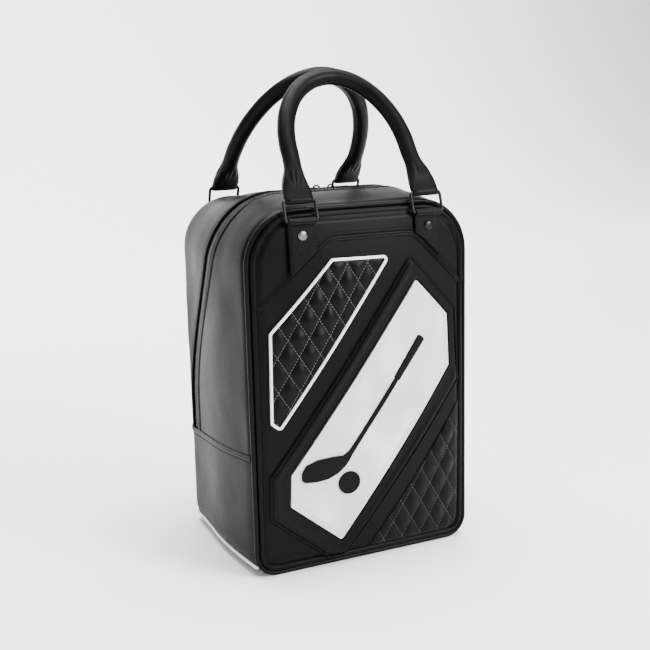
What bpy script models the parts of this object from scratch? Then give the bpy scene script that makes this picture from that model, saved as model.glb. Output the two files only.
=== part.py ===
"""Golf shoe bag: a boxy carry bag with a padded front, a zipped mouth and two rolled handles.

Metres, +Z up. The front faces -Y and the bag stands on z = 0. The body is one smooth
shell, cut into its sewn pieces: position on it is given by a station round the outline
(left side, over the top, right side) and by a depth measured back from the front edge.
"""
from math import atan2, cos, hypot, pi, radians, sin, sqrt

import bmesh
import bpy
from mathutils import Matrix, Vector

# Body
WIDTH = 0.234
DEPTH = 0.190
HEIGHT = 0.352
TOP_RADIUS = 0.052
BOTTOM_RADIUS = 0.022
REAR_RADIUS = 0.024
TOP_SWELL = 0.010
SIDE_SWELL = 0.0045
CORNER_SWELL = 0.014
FRAME_SHIFT = 0.0039
Y_FRONT = -DEPTH / 2 + FRAME_SHIFT
Y_BACK = DEPTH / 2 + FRAME_SHIFT
GAP = 0.0004

# Sewn layers, as a depth below the outer face
LEATHER = 0.0022
LINING = 0.0006
LINING_DEPTH = LEATHER + GAP

# Front panel
PANEL_INSET = 0.0039
PANEL_RISE = 0.003
PANEL_LIFT = 0.001
FRONT_CROWN = 0.010
BACK_CROWN = 0.005
SKIN = 0.0016
BOARD = 0.0016
FLOOR_BOARD = 0.0024
GRID = 0.022
FOAM_BACK = 0.0016

# Zip
ZIP_TOP = 0.075
ZIP_SIDE = 0.161
ZIP_BEND_HIGH = 0.355
ZIP_BEND_LOW = 0.140
FRONT_EDGE = 0.009
REAR_EDGE = 0.005
TAPE_EDGE = 0.0023
TAPE_WIDTH = 0.0117
TAPE_DEPTH = 0.0030
TAPE = 0.0008
TEETH_INNER = 0.00025
TEETH_WIDTH = 0.0018
TEETH_DEPTH = 0.0022
TEETH = 0.0022
SLIDER_X = 0.008
SLIDER_SIZE = (0.010, 0.008, 0.0016)
PULLER_LENGTH = 0.021
PULLER_WIDTH = 0.0056
PULLER = 0.0013

# Lower wrap and piping
WRAP_FRONT = 0.122
WRAP_REAR = 0.108
WRAP_LOW = 0.010
PIPING = 0.0022
RIDGE = 0.0018
BASE_PIPING = 0.0015
BEAD = 0.0014

# Handles, rings and tabs
TAB_WIDTH = 0.028
TAB = 0.002
LOOP_RADIUS = 0.0037
LOOP_HOLE = 0.0019
WIRE = 0.0015
RING_WIDTH = 0.032
RING_CORNER = 0.0025
RING_LOW_Z = 0.341
RING_HIGH_Z = 0.3595
RING_LEAN = 0.0058
HANDLE_WIDE = 0.0082
HANDLE_NARROW = 0.0076
HANDLE_SIDES = 12
HANDLE_ENDS = (-0.0037, -0.0015, 0.0060)
FLARE_LENGTH = 0.030
RIVET_Z = 0.328
BACK_RIVET_Z = 0.319
RIVET_HOLE = 0.0021
TAB_RISE = 0.001
TAB_FOOT = 0.0032
TAB_SHIFT = 0.0024
BACK_TAB_FOOT = 0.292
BAR_FRONT = Y_FRONT - 0.0098
BAR_BACK = Y_BACK + 0.0056
# Each side's middle, half spacing of the tabs, handle lean, leg, half width and length
FRONT_CARRY = (0.0035, 0.0665, radians(32.3), 0.0500, 0.0628, 0.1313)
BACK_CARRY = (0.0105, 0.0725, radians(39.5), 0.0300, 0.0735, 0.1470)

BLACK = (0.018, 0.018, 0.020)
WHITE = (0.86, 0.86, 0.85)
GUNMETAL = (0.10, 0.10, 0.11)
SILVER = (0.62, 0.62, 0.63)
FOAM = (0.55, 0.55, 0.52)
STIFFENER = (0.30, 0.26, 0.20)

SOLIDS = bpy.data.collections.new("golf_shoe_bag")
CUTTERS = bpy.data.collections.new("cutters")


# ---------------------------------------------------------------- helpers

def clear_scene():
    for item in list(bpy.data.objects):
        bpy.data.objects.remove(item, do_unlink=True)
    bpy.context.scene.collection.children.link(SOLIDS)
    bpy.context.scene.collection.children.link(CUTTERS)


def material(name, color, roughness, metallic=0.0):
    mat = bpy.data.materials.new(name)
    mat.use_nodes = True
    shader = mat.node_tree.nodes["Principled BSDF"]
    shader.inputs["Base Color"].default_value = (*color, 1)
    shader.inputs["Roughness"].default_value = roughness
    shader.inputs["Metallic"].default_value = metallic
    return mat


def add_object(name, data, color, roughness, metallic=0.0):
    item = bpy.data.objects.new(name, data)
    item.data.materials.append(material(name, color, roughness, metallic))
    SOLIDS.objects.link(item)
    return item


def mesh_object(name, bm, color, roughness, metallic=0.0):
    mesh = bpy.data.meshes.new(name)
    bm.to_mesh(mesh)
    bm.free()
    mesh.shade_smooth()
    mesh.set_sharp_from_angle(angle=radians(35))
    return add_object(name, mesh, color, roughness, metallic)


def cutter(name, bm):
    mesh = bpy.data.meshes.new(name)
    bm.to_mesh(mesh)
    bm.free()
    item = bpy.data.objects.new(name, mesh)
    item.hide_render = True
    item.display_type = "WIRE"
    CUTTERS.objects.link(item)
    return item


def boolean(item, tool, operation):
    step = item.modifiers.new(operation.lower(), "BOOLEAN")
    step.object = tool
    step.operation = operation
    step.solver = "EXACT"


def smooth(x):
    x = min(max(x, 0.0), 1.0)
    return x * x * (3 - 2 * x)


def spread(low, high, count):
    return [low + (high - low) * i / count for i in range(count + 1)]


def tube(name, points, radius, color, roughness, metallic=0.0, closed=False):
    curve = bpy.data.curves.new(name, "CURVE")
    curve.dimensions = "3D"
    curve.bevel_depth = radius
    curve.bevel_resolution = 2
    curve.use_fill_caps = True
    spline = curve.splines.new("POLY")
    spline.points.add(len(points) - 1)
    for target, point in zip(spline.points, points):
        target.co = (*point, 1)
    spline.use_cyclic_u = closed
    return add_object(name, curve, color, roughness, metallic)


def box(size, centre):
    bm = bmesh.new()
    bmesh.ops.create_cube(bm, size=1, matrix=Matrix.Translation(centre) @ Matrix.Diagonal((*size, 1)))
    return bm


def cylinder(radius, length, centre, axis, sides=16):
    turn = Vector((0, 0, 1)).rotation_difference(Vector(axis)).to_matrix().to_4x4()
    bm = bmesh.new()
    bmesh.ops.create_cone(bm, cap_ends=True, segments=sides, radius1=radius, radius2=radius,
                          depth=length, matrix=Matrix.Translation(centre) @ turn)
    return bm


def rounded(points, radius, steps=4):
    """Round the corners of a closed outline with arcs."""
    result = []
    for i, corner in enumerate(points):
        corner = Vector(corner)
        before = (Vector(points[i - 1]) - corner).normalized()
        after = (Vector(points[(i + 1) % len(points)]) - corner).normalized()
        half = before.angle(after) / 2
        reach = radius / abs(sin(half) / cos(half))
        middle = corner + (before + after).normalized() * (radius / sin(half))
        start = corner + before * reach - middle
        end = corner + after * reach - middle
        for k in range(steps + 1):
            ray = start.lerp(end, k / steps).normalized() * radius
            result.append(tuple(middle + ray))
    return result


# ---------------------------------------------------------------- the shell

FLAT_DEPTH = DEPTH - REAR_RADIUS
REAR_END = FLAT_DEPTH + REAR_RADIUS * pi / 2
BACK_LAP = 0.002
SHELL_START = 0.0026


def swell(depth):
    """How far the top and sides belly out, from 0 at the edges to 1 at the zip."""
    if depth < ZIP_TOP:
        return sin(pi / 2 * depth / ZIP_TOP)
    if depth < FLAT_DEPTH:
        return cos(pi / 2 * (depth - ZIP_TOP) / (FLAT_DEPTH - ZIP_TOP)) ** 2
    return 0.0


def section(depth, below=0.0):
    """Y, half width, top height and corner radius of the outline at a depth."""
    if depth <= FLAT_DEPTH:
        k = swell(depth)
        radius = TOP_RADIUS + CORNER_SWELL * k - below
        half = WIDTH / 2 + SIDE_SWELL * k - below
        return Y_FRONT + depth, half, HEIGHT + TOP_SWELL * k - below, radius
    if depth > REAR_END:
        inset = REAR_RADIUS + depth - REAR_END
        return Y_BACK - below, WIDTH / 2 - inset, HEIGHT - inset, TOP_RADIUS - inset
    turn = (depth - FLAT_DEPTH) / REAR_RADIUS
    inset = below + (REAR_RADIUS - below) * (1 - cos(turn))
    y = Y_FRONT + FLAT_DEPTH + (REAR_RADIUS - below) * sin(turn)
    return y, WIDTH / 2 - inset, HEIGHT - inset, TOP_RADIUS - inset


def wrap_top(depth):
    """Height of the lower wrap's top edge, which falls from front to rear."""
    return WRAP_REAR + (WRAP_FRONT - WRAP_REAR) * max(0.0, 1 - depth / FLAT_DEPTH)


def arch(half, top, radius, low):
    """Stations up the left side, over the top and down the right side."""
    left = [(-half, z) for z in spread(low, top - radius, 6)]
    turn = [(-half + radius - radius * cos(a), top - radius + radius * sin(a))
            for a in spread(0, pi / 2, 6)]
    crown = [(x, top) for x in spread(-half + radius, 0, 2)]
    side = left + turn[1:] + crown[1:]
    return side + [(-x, z) for x, z in reversed(side[:-1])]


def zip_depths():
    """Depth of the zip at each station: far back low down, further forward on top."""
    _, half, top, radius = section(ZIP_TOP)
    heights = [z for _, z in arch(half, top, radius, wrap_top(ZIP_SIDE))]
    span = ZIP_BEND_HIGH - ZIP_BEND_LOW
    return [ZIP_TOP + (ZIP_SIDE - ZIP_TOP) * smooth((ZIP_BEND_HIGH - z) / span) for z in heights]


ZIP_LINE = zip_depths()


def surface(name, rows, flip, thickness, color, roughness):
    """A shell: an open grid of points made solid towards its inner side."""
    bm = bmesh.new()
    grid = [[bm.verts.new(point) for point in row] for row in rows]
    for i in range(len(grid) - 1):
        for j in range(len(grid[0]) - 1):
            face = [grid[i][j], grid[i + 1][j], grid[i + 1][j + 1], grid[i][j + 1]]
            bm.faces.new(face[::-1] if flip else face)
    item = mesh_object(name, bm, color, roughness)
    shell = item.modifiers.new("thickness", "SOLIDIFY")
    shell.thickness = thickness
    shell.offset = -1
    shell.use_even_offset = True
    return item


def strip(name, front, rear, steps, below, thickness, color=BLACK, roughness=0.42):
    """A strip of the shell between two lists of depths, one for each station."""
    rows = []
    for i in range(len(ZIP_LINE)):
        row = []
        for depth in spread(front[i], rear[i], steps):
            y, half, top, radius = section(depth, below)
            x, z = arch(half, top, radius, wrap_top(depth) + GAP)[i]
            row.append((x, y, z))
        rows.append(row)
    return surface(name, rows, False, thickness, color, roughness)


def offset_line(distance):
    return [depth + distance for depth in ZIP_LINE]


def rear_strip(name, front, below, thickness, roughness=0.42):
    """A strip that rounds the rear corner and laps onto the back face."""
    rows = []
    for i in range(len(ZIP_LINE)):
        row = []
        turn_start = max(FLAT_DEPTH, front[i] + 0.002)
        depths = spread(front[i], turn_start, 5) + spread(turn_start, REAR_END, 5)[1:]
        for depth in depths + [REAR_END + BACK_LAP]:
            y, half, top, radius = section(depth, below)
            x, z = arch(half, top, radius, wrap_top(depth) + GAP)[i]
            row.append((x, y, z))
        rows.append(row)
    return surface(name, rows, False, thickness, BLACK, roughness)


def make_gussets():
    ends = [SHELL_START] * len(ZIP_LINE)
    lining_start = [SHELL_START + 0.003] * len(ZIP_LINE)
    strip("gusset_front", ends, offset_line(-FRONT_EDGE), 7, 0, LEATHER)
    rear_strip("gusset_rear", offset_line(REAR_EDGE), 0, LEATHER)
    strip("zip_tape_front", offset_line(-TAPE_EDGE - TAPE_WIDTH), offset_line(-TAPE_EDGE), 1,
          TAPE_DEPTH, TAPE, roughness=0.8)
    strip("zip_tape_rear", offset_line(TAPE_EDGE), offset_line(TAPE_EDGE + TAPE_WIDTH), 1,
          TAPE_DEPTH, TAPE, roughness=0.8)
    strip("zip_teeth_front", offset_line(-TEETH_INNER - TEETH_WIDTH), offset_line(-TEETH_INNER), 1,
          TEETH_DEPTH, TEETH, roughness=0.5)
    strip("zip_teeth_rear", offset_line(TEETH_INNER), offset_line(TEETH_INNER + TEETH_WIDTH), 1,
          TEETH_DEPTH, TEETH, roughness=0.5)
    clear = TAPE_EDGE + TAPE_WIDTH + 0.001
    strip("gusset_lining_front", lining_start, offset_line(-clear), 5,
          LINING_DEPTH, LINING, roughness=0.85)
    rear_strip("gusset_lining_rear", offset_line(clear), LINING_DEPTH, LINING, 0.85)


def corner_inset(z):
    """How far the rounded bottom edge pulls in at a height."""
    if z >= BOTTOM_RADIUS:
        return 0.0
    return BOTTOM_RADIUS - sqrt(BOTTOM_RADIUS ** 2 - (BOTTOM_RADIUS - z) ** 2)


def plan(inset, start=SHELL_START):
    """Plan stations: back along the left side, across the back, forward along the right.

    Each is x, y and the depth that it belongs to."""
    stations = []
    for depth in spread(start, FLAT_DEPTH, 6):
        stations.append((-(WIDTH / 2 + SIDE_SWELL * swell(depth) - inset), Y_FRONT + depth, depth))
    radius = REAR_RADIUS - inset
    for turn in spread(0, pi / 2, 5)[1:]:
        x = -(WIDTH / 2 - REAR_RADIUS) - radius * cos(turn)
        stations.append((x, Y_FRONT + FLAT_DEPTH + radius * sin(turn), REAR_END))
    half = WIDTH / 2 - REAR_RADIUS
    back = [(x, Y_BACK - inset, REAR_END) for x in spread(-half, 0, 2)[1:]]
    left = stations + back
    return left + [(-x, y, depth) for x, y, depth in reversed(left[:-1])]


def wall(name, low, drop, below, thickness, color=BLACK, roughness=0.42, start=SHELL_START):
    """The lower wall round both sides and the back, up to the wrap's top edge."""
    rows = []
    for level in (0, 0.04, 0.11, 0.5, 1):
        row = []
        for i, (_, _, depth) in enumerate(plan(0, start)):
            z = low + (wrap_top(depth) - drop - low) * level
            x, y, _ = plan(corner_inset(z) + below, start)[i]
            row.append((x, y, z))
        rows.append(row)
    return surface(name, rows, False, thickness, color, roughness)


def make_base():
    wall("base_wrap", WRAP_LOW + GAP, 0, 0, LEATHER)
    wall("wrap_lining", BOTTOM_RADIUS + 0.001, 0.001, LINING_DEPTH, LINING, roughness=0.85,
         start=SHELL_START + 0.003)

    bm = bmesh.new()
    rings = []
    top_angle = atan2(sqrt(BOTTOM_RADIUS ** 2 - (BOTTOM_RADIUS - WRAP_LOW) ** 2),
                      BOTTOM_RADIUS - WRAP_LOW)
    for turn in spread(top_angle, 0, 5):
        z = BOTTOM_RADIUS * (1 - cos(turn))
        inset = BOTTOM_RADIUS * (1 - sin(turn))
        rings.append([bm.verts.new((x, y, z)) for x, y, _ in plan(inset)])
    for upper, lower in zip(rings, rings[1:]):
        for j in range(len(upper) - 1):
            bm.faces.new((upper[j], upper[j + 1], lower[j + 1], lower[j]))
    bm.faces.new(rings[-1])
    bmesh.ops.recalc_face_normals(bm, faces=bm.faces)
    if sum(face.normal.z * face.calc_area() for face in bm.faces) > 0:
        bmesh.ops.reverse_faces(bm, faces=bm.faces)
    tray = mesh_object("base_panel", bm, BLACK, 0.5)
    shell = tray.modifiers.new("thickness", "SOLIDIFY")
    shell.thickness = SKIN
    shell.offset = -1
    shell.use_even_offset = True

    for name, low, high, color in (
            ("base_board", SKIN + GAP, SKIN + GAP + FLOOR_BOARD, STIFFENER),
            ("base_lining", SKIN + FLOOR_BOARD + 2 * GAP, SKIN + FLOOR_BOARD + 2 * GAP + LINING,
             BLACK)):
        bm = bmesh.new()
        floor = [bm.verts.new((x, y, low))
                 for x, y, _ in plan(BOTTOM_RADIUS - 0.001, SHELL_START + 0.004)]
        face = bm.faces.new(floor)
        top = bmesh.ops.extrude_face_region(bm, geom=[face])
        raised = [part for part in top["geom"] if isinstance(part, bmesh.types.BMVert)]
        bmesh.ops.translate(bm, verts=raised, vec=(0, 0, high - low))
        bmesh.ops.recalc_face_normals(bm, faces=bm.faces)
        mesh_object(name, bm, color, 0.85)

    ridge = [(x, y, wrap_top(depth) - RIDGE) for x, y, depth in plan(-RIDGE - GAP, 0.004)]
    tube("base_wrap_ridge", ridge, RIDGE, BLACK, 0.4)
    low = plan(corner_inset(WRAP_LOW) - BASE_PIPING - GAP, 0.004)
    tube("base_piping", [(x, y, WRAP_LOW) for x, y, _ in low], BASE_PIPING, WHITE, 0.45)


# ---------------------------------------------------------------- the front panel

def closed_outline(inset):
    """The front outline, closed, running anticlockwise seen from the front."""
    half = WIDTH / 2 - inset
    low = PANEL_LIFT + inset
    high = HEIGHT - inset
    wide = TOP_RADIUS - inset
    small = BOTTOM_RADIUS - inset
    right = [(half - small + small * sin(a), low + small - small * cos(a))
             for a in spread(0, pi / 2, 5)]
    right += [(half - wide + wide * cos(a), high - wide + wide * sin(a))
              for a in spread(0, pi / 2, 9)]
    return right + [(-x, z) for x, z in reversed(right)]


def crown(x, z, half, low, high, height):
    across = 1 - min(abs(x) / half, 1) ** 2.5
    middle = (low + high) / 2
    up = 1 - min(abs(z - middle) / (high - middle), 1) ** 2.5
    return height * across * up


def front_y(lift):
    """Y of the padded front at a height above its skin, as a function of x and z."""
    def at(x, z):
        return Y_FRONT - PANEL_RISE - lift - crown(x, z, WIDTH / 2, 0, HEIGHT, FRONT_CROWN)
    return at


def back_y(lift):
    def at(x, z):
        half = WIDTH / 2 - REAR_RADIUS
        return Y_BACK + lift + crown(x, z, half, WRAP_REAR, HEIGHT - REAR_RADIUS, BACK_CROWN)
    return at


def flat(y):
    return lambda x, z: y


def slab_mesh(loops, outer, inner, step):
    bm = bmesh.new()
    edges = []
    for loop in loops:
        ring = [bm.verts.new((x, 0, z)) for x, z in loop]
        edges += [bm.edges.new((ring[i - 1], ring[i])) for i in range(len(ring))]
    if len(loops) == 1:
        bm.faces.new(ring)
    else:
        bmesh.ops.triangle_fill(bm, edges=edges, use_beauty=True)
    if step:
        for normal in ((1, 0, 0), (0, 0, 1)):
            reach = int(HEIGHT / step) + 1
            for k in range(-reach, reach):
                spot = Vector(normal) * (k + 0.5) * step
                geometry = bm.verts[:] + bm.edges[:] + bm.faces[:]
                bmesh.ops.bisect_plane(bm, geom=geometry, dist=1e-6, plane_co=spot, plane_no=normal)
    thicken(bm, outer, inner)
    return bm


def thicken(bm, outer, inner):
    """Extrude a flat sheet and lay its two sides on two surfaces."""
    result = bmesh.ops.extrude_face_region(bm, geom=bm.faces[:])
    raised = {part for part in result["geom"] if isinstance(part, bmesh.types.BMVert)}
    for vert in bm.verts:
        rule = outer if vert in raised else inner
        vert.co.y = rule(vert.co.x, vert.co.z)
    bmesh.ops.recalc_face_normals(bm, faces=bm.faces)


def slab(name, loops, outer, inner, color=BLACK, roughness=0.42, step=GRID):
    """A sewn or glued layer: a flat outline between two surfaces."""
    return mesh_object(name, slab_mesh(loops, outer, inner, step), color, roughness)


def mapped(points, lift):
    rule = front_y(lift)
    return [(x, rule(x, z), z) for x, z in points]


YOKE_Z = 0.322
YOKE_LEFT = -0.036
YOKE_RIGHT = 0.0555
YOKE_DROP_LEFT = 0.84
YOKE_DROP_RIGHT = 1.0
PLATE = [(0.055, 0.277), (0.091, 0.239), (0.093, 0.187), (-0.0293, 0.0252),
         (-0.0828, 0.069), (-0.0818, 0.101)]
FRAME = [(0.050, 0.302), (0.102, 0.247), (0.106, 0.170), (-0.024, 0.0075), (-0.042, 0.0075),
         (-0.104, 0.058), (-0.103, 0.101)]
UPPER_QUILT = [(-0.0995, 0.240), (-0.0345, 0.305), (0.0295, 0.3035), (-0.091, 0.1445),
               (-0.101, 0.153)]
LOWER_QUILT = [(0.108, 0.150), (0.106, 0.026), (0.094, 0.0105), (0.001, 0.0105)]


def yoke_line(x, rise=0.0):
    left = YOKE_Z - (YOKE_LEFT - x) * YOKE_DROP_LEFT
    right = YOKE_Z - (x - YOKE_RIGHT) * YOKE_DROP_RIGHT
    return min(YOKE_Z, left, right) + rise


def narrowed(points, distance):
    """A closed convex outline moved inwards by a distance."""
    result = []
    count = len(points)
    area = sum(points[i - 1][0] * points[i][1] - points[i][0] * points[i - 1][1]
               for i in range(count))
    side = 1 if area > 0 else -1
    for i in range(count):
        here = Vector(points[i])
        first = (here - Vector(points[i - 1])).normalized()
        second = (Vector(points[(i + 1) % count]) - here).normalized()
        inward_one = Vector((-first.y, first.x)) * side
        inward_two = Vector((-second.y, second.x)) * side
        bisector = (inward_one + inward_two).normalized()
        result.append(tuple(here + bisector * (distance / bisector.dot(inward_one))))
    return result


def make_front():
    edge = closed_outline(PANEL_INSET)
    slab("front_skin", [edge], front_y(0), front_y(-SKIN))
    slab("front_foam", [edge], front_y(-SKIN - GAP), flat(Y_FRONT + FOAM_BACK), FOAM, 0.9)
    board_y = Y_FRONT + FOAM_BACK + GAP
    slab("front_board", [edge], flat(board_y), flat(board_y + BOARD), STIFFENER, 0.8, None)
    lining_y = board_y + BOARD + GAP
    slab("front_lining", [closed_outline(PANEL_INSET + 0.0006)], flat(lining_y),
         flat(lining_y + LINING), BLACK, 0.85, None)

    rim = closed_outline(PANEL_INSET + 0.0013)
    above = [(x, z) for x, z in rim if z > yoke_line(x, 0.003)]
    reach = WIDTH / 2 - PANEL_INSET - 0.0013
    lower = [(x, yoke_line(x, 0.0026)) for x in (-reach, YOKE_LEFT, YOKE_RIGHT, reach)]
    slab("yoke_panel", [above + lower], front_y(0.0016), front_y(GAP))
    along = spread(-reach, YOKE_LEFT, 7) + spread(YOKE_LEFT, YOKE_RIGHT, 8)[1:]
    ridge = [(x, yoke_line(x)) for x in along + spread(YOKE_RIGHT, reach, 6)[1:]]
    tube("yoke_ridge", mapped(ridge, 0.0024), 0.0019, BLACK, 0.35)

    frame = rounded(FRAME, 0.006)
    slab("plate_frame", [frame, rounded(narrowed(PLATE, -0.0006), 0.001, 1)],
         front_y(0.0036), front_y(GAP))
    slab("emblem_plate", [PLATE], front_y(0.0022), front_y(GAP), WHITE, 0.5)
    make_motif(0.0022 + GAP)

    for name, outline, lift in (("upper_quilt", narrowed(UPPER_QUILT, 0.0040), 0.004),
                                ("lower_quilt", LOWER_QUILT, 0.0034)):
        slab(name, [rounded(outline, 0.003, 2)], front_y(lift), front_y(GAP), BLACK, 0.45)
    bead = fine(rounded(narrowed(UPPER_QUILT, 0.002), 0.004))
    tube("upper_quilt_piping", mapped(bead, 0.0019), BEAD, WHITE, 0.45, closed=True)

    path = closed_outline(0.0014)
    tube("front_piping", [(x, Y_FRONT, z) for x, z in path], PIPING, BLACK, 0.35, closed=True)


def fine(points):
    """Add points along the long sides, so that a bead follows the padded face."""
    result = []
    for i, point in enumerate(points):
        following = points[(i + 1) % len(points)]
        length = hypot(following[0] - point[0], following[1] - point[1])
        count = max(1, round(length / GRID))
        for k in range(count):
            blend = k / count
            result.append((point[0] + (following[0] - point[0]) * blend,
                           point[1] + (following[1] - point[1]) * blend))
    return result


MOTIF_CENTRE = (0.004, 0.148)
MOTIF_ANGLE = atan2(0.165, 0.126)
# The club's edges on both sides of its axis, from the grip's end to the toe
CLUB = [(0.090, -0.0042, 0.0042), (0.066, -0.0038, 0.0038), (0.044, -0.0034, 0.0034),
        (0.042, -0.0023, 0.0023), (0.020, -0.0023, 0.0023), (-0.002, -0.0023, 0.0023),
        (-0.024, -0.0023, 0.0023), (-0.040, -0.0024, 0.0026), (-0.047, -0.0030, 0.0055),
        (-0.054, -0.0030, 0.0150), (-0.064, -0.0004, 0.0265), (-0.074, 0.0055, 0.0330),
        (-0.082, 0.0140, 0.0325), (-0.087, 0.0215, 0.0290)]
BALL_PLACE = (-0.066, -0.0170)
BALL_RADIUS = 0.0115
BADGE = 0.0016


def turned(points):
    """Lay an outline along the plate's long diagonal."""
    along = Vector((cos(MOTIF_ANGLE), sin(MOTIF_ANGLE)))
    across = Vector((-sin(MOTIF_ANGLE), cos(MOTIF_ANGLE)))
    centre = Vector(MOTIF_CENTRE)
    return [tuple(centre + along * u + across * v) for u, v in points]


def make_motif(base):
    """A plain raised golf club and ball, cut from black sheet."""
    bm = bmesh.new()
    pairs = [[bm.verts.new((x, 0, z)) for x, z in turned([(u, low), (u, high)])]
             for u, low, high in CLUB]
    for first, second in zip(pairs, pairs[1:]):
        bm.faces.new((first[0], first[1], second[1], second[0]))
    thicken(bm, front_y(base + BADGE), front_y(base))
    mesh_object("club_motif", bm, BLACK, 0.4)
    u, v = BALL_PLACE
    ball = [(u + BALL_RADIUS * cos(a), v + BALL_RADIUS * sin(a)) for a in spread(0, 2 * pi, 24)[:-1]]
    slab("ball_motif", [turned(ball)], front_y(base + BADGE), front_y(base), BLACK, 0.4, None)


# ---------------------------------------------------------------- the back flap

def make_back():
    inset = REAR_RADIUS + BACK_LAP + GAP
    half = WIDTH / 2 - inset
    top = HEIGHT - inset
    radius = TOP_RADIUS - inset
    outline = arch(half, top, radius, WRAP_REAR + GAP)
    slab("back_panel", [outline], back_y(0), back_y(-LEATHER))
    inner = arch(half - 0.003, top - 0.003, radius - 0.003, WRAP_REAR + 0.003)
    board_y = Y_BACK - LEATHER - GAP
    slab("back_board", [inner], flat(board_y), flat(board_y - BOARD), STIFFENER, 0.8, None)
    lining_y = board_y - BOARD - GAP
    slab("back_lining", [inner], flat(lining_y), flat(lining_y - LINING), BLACK, 0.85, None)


# ---------------------------------------------------------------- tabs, rings, rivets

def strap_plane(rule, x, low, high):
    """A plane that lies on a padded face along one upright line."""
    start, end = rule(x, low), rule(x, high)
    return lambda _, z: start + (end - start) * (z - low) / (high - low)


def make_tab(name, x, side, rule, foot, bar_y, rivet_z, shift):
    """A strap folded round the ring's lower bar and riveted to the panel."""
    half = TAB_WIDTH / 2
    near = x - half if x > 0 else x + half
    low, high = foot(x + half if x > 0 else x - half), RING_LOW_Z + TAB_RISE
    inner = strap_plane(rule(shift), near, low, high)
    outer = strap_plane(rule(shift + TAB), near, low, high)
    strap = [(x - half, foot(x - half)), (x + half, foot(x + half)), (x + half, high),
             (x - half, high)]
    tab = slab(name, [strap], outer, inner, BLACK, 0.42, None)
    loop = cutter(name + "_loop", cylinder(LOOP_RADIUS, TAB_WIDTH, (x, bar_y, RING_LOW_Z), (1, 0, 0)))
    hole = cutter(name + "_hole",
                  cylinder(LOOP_HOLE, 2 * TAB_WIDTH, (x, bar_y, RING_LOW_Z), (1, 0, 0)))
    face_y = outer(x, rivet_z)
    tilt = atan2(outer(x, high) - outer(x, low), high - low)
    post = cutter(name + "_post",
                  cylinder(RIVET_HOLE, 0.012, (x, face_y, rivet_z), (0, cos(tilt), -sin(tilt))))
    boolean(tab, loop, "UNION")
    boolean(tab, hole, "DIFFERENCE")
    boolean(tab, post, "DIFFERENCE")
    make_rivet(name.replace("tab", "rivet"), x, face_y + side * GAP, rivet_z, side, tilt)


def make_rivet(name, x, y, z, side, tilt):
    """A domed screw rivet, turned about its own axis, with a driver slot."""
    profile = [(0, 0.0016), (0.0030, 0.0014), (0.0043, 0.0009), (0.0047, 0.0002), (0.0047, 0),
               (0.0016, 0), (0.0016, -0.0021), (0, -0.0021)]
    bm = bmesh.new()
    points = [bm.verts.new((radius, 0, height)) for radius, height in profile]
    for first, second in zip(points, points[1:]):
        bm.edges.new((first, second))
    color = SILVER if name == "front_rivet_left" else GUNMETAL
    item = mesh_object(name, bm, color, 0.25, 1.0)
    screw = item.modifiers.new("turn", "SCREW")
    screw.steps = 16
    screw.render_steps = 16
    screw.use_merge_vertices = True
    screw.merge_threshold = 0.00001
    slot = cutter(name + "_slot", box((0.0066, 0.0009, 0.0012), (0, 0, 0.0015)))
    boolean(item, slot, "DIFFERENCE")
    place = Matrix.Translation((x, y, z)) @ Matrix.Rotation(-side * pi / 2 - tilt, 4, "X")
    item.matrix_world = place
    slot.matrix_world = place


def make_ring(name, x, bar_y, side):
    """A rounded rectangle of wire that leans towards the bag."""
    low = Vector((x, bar_y, RING_LOW_Z))
    rise = Vector((0, -side * RING_LEAN, RING_HIGH_Z - RING_LOW_Z))
    height = rise.length
    rise.normalize()
    half = RING_WIDTH / 2
    corners = [(-half, 0), (half, 0), (half, height), (-half, height)]
    path = rounded(corners, RING_CORNER, 4)
    points = [low + Vector((u, 0, 0)) + rise * v for u, v in path]
    return tube(name, points, WIRE, GUNMETAL, 0.3, 1.0, closed=True)


def handle_path(half, leg, spread_x, length):
    """The handle's line as x and height above its bars: up a leg, over, and down."""
    path = [(-half, h) for h in HANDLE_ENDS]
    for h in spread(HANDLE_ENDS[-1], leg, 4)[1:-1]:
        path.append((-half + (half - spread_x) * h / leg, h))
    path += [(-spread_x * cos(a), leg + (length - leg) * sin(a)) for a in spread(0, pi / 2, 7)]
    return path + [(-x, h) for x, h in reversed(path[:-1])]


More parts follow.
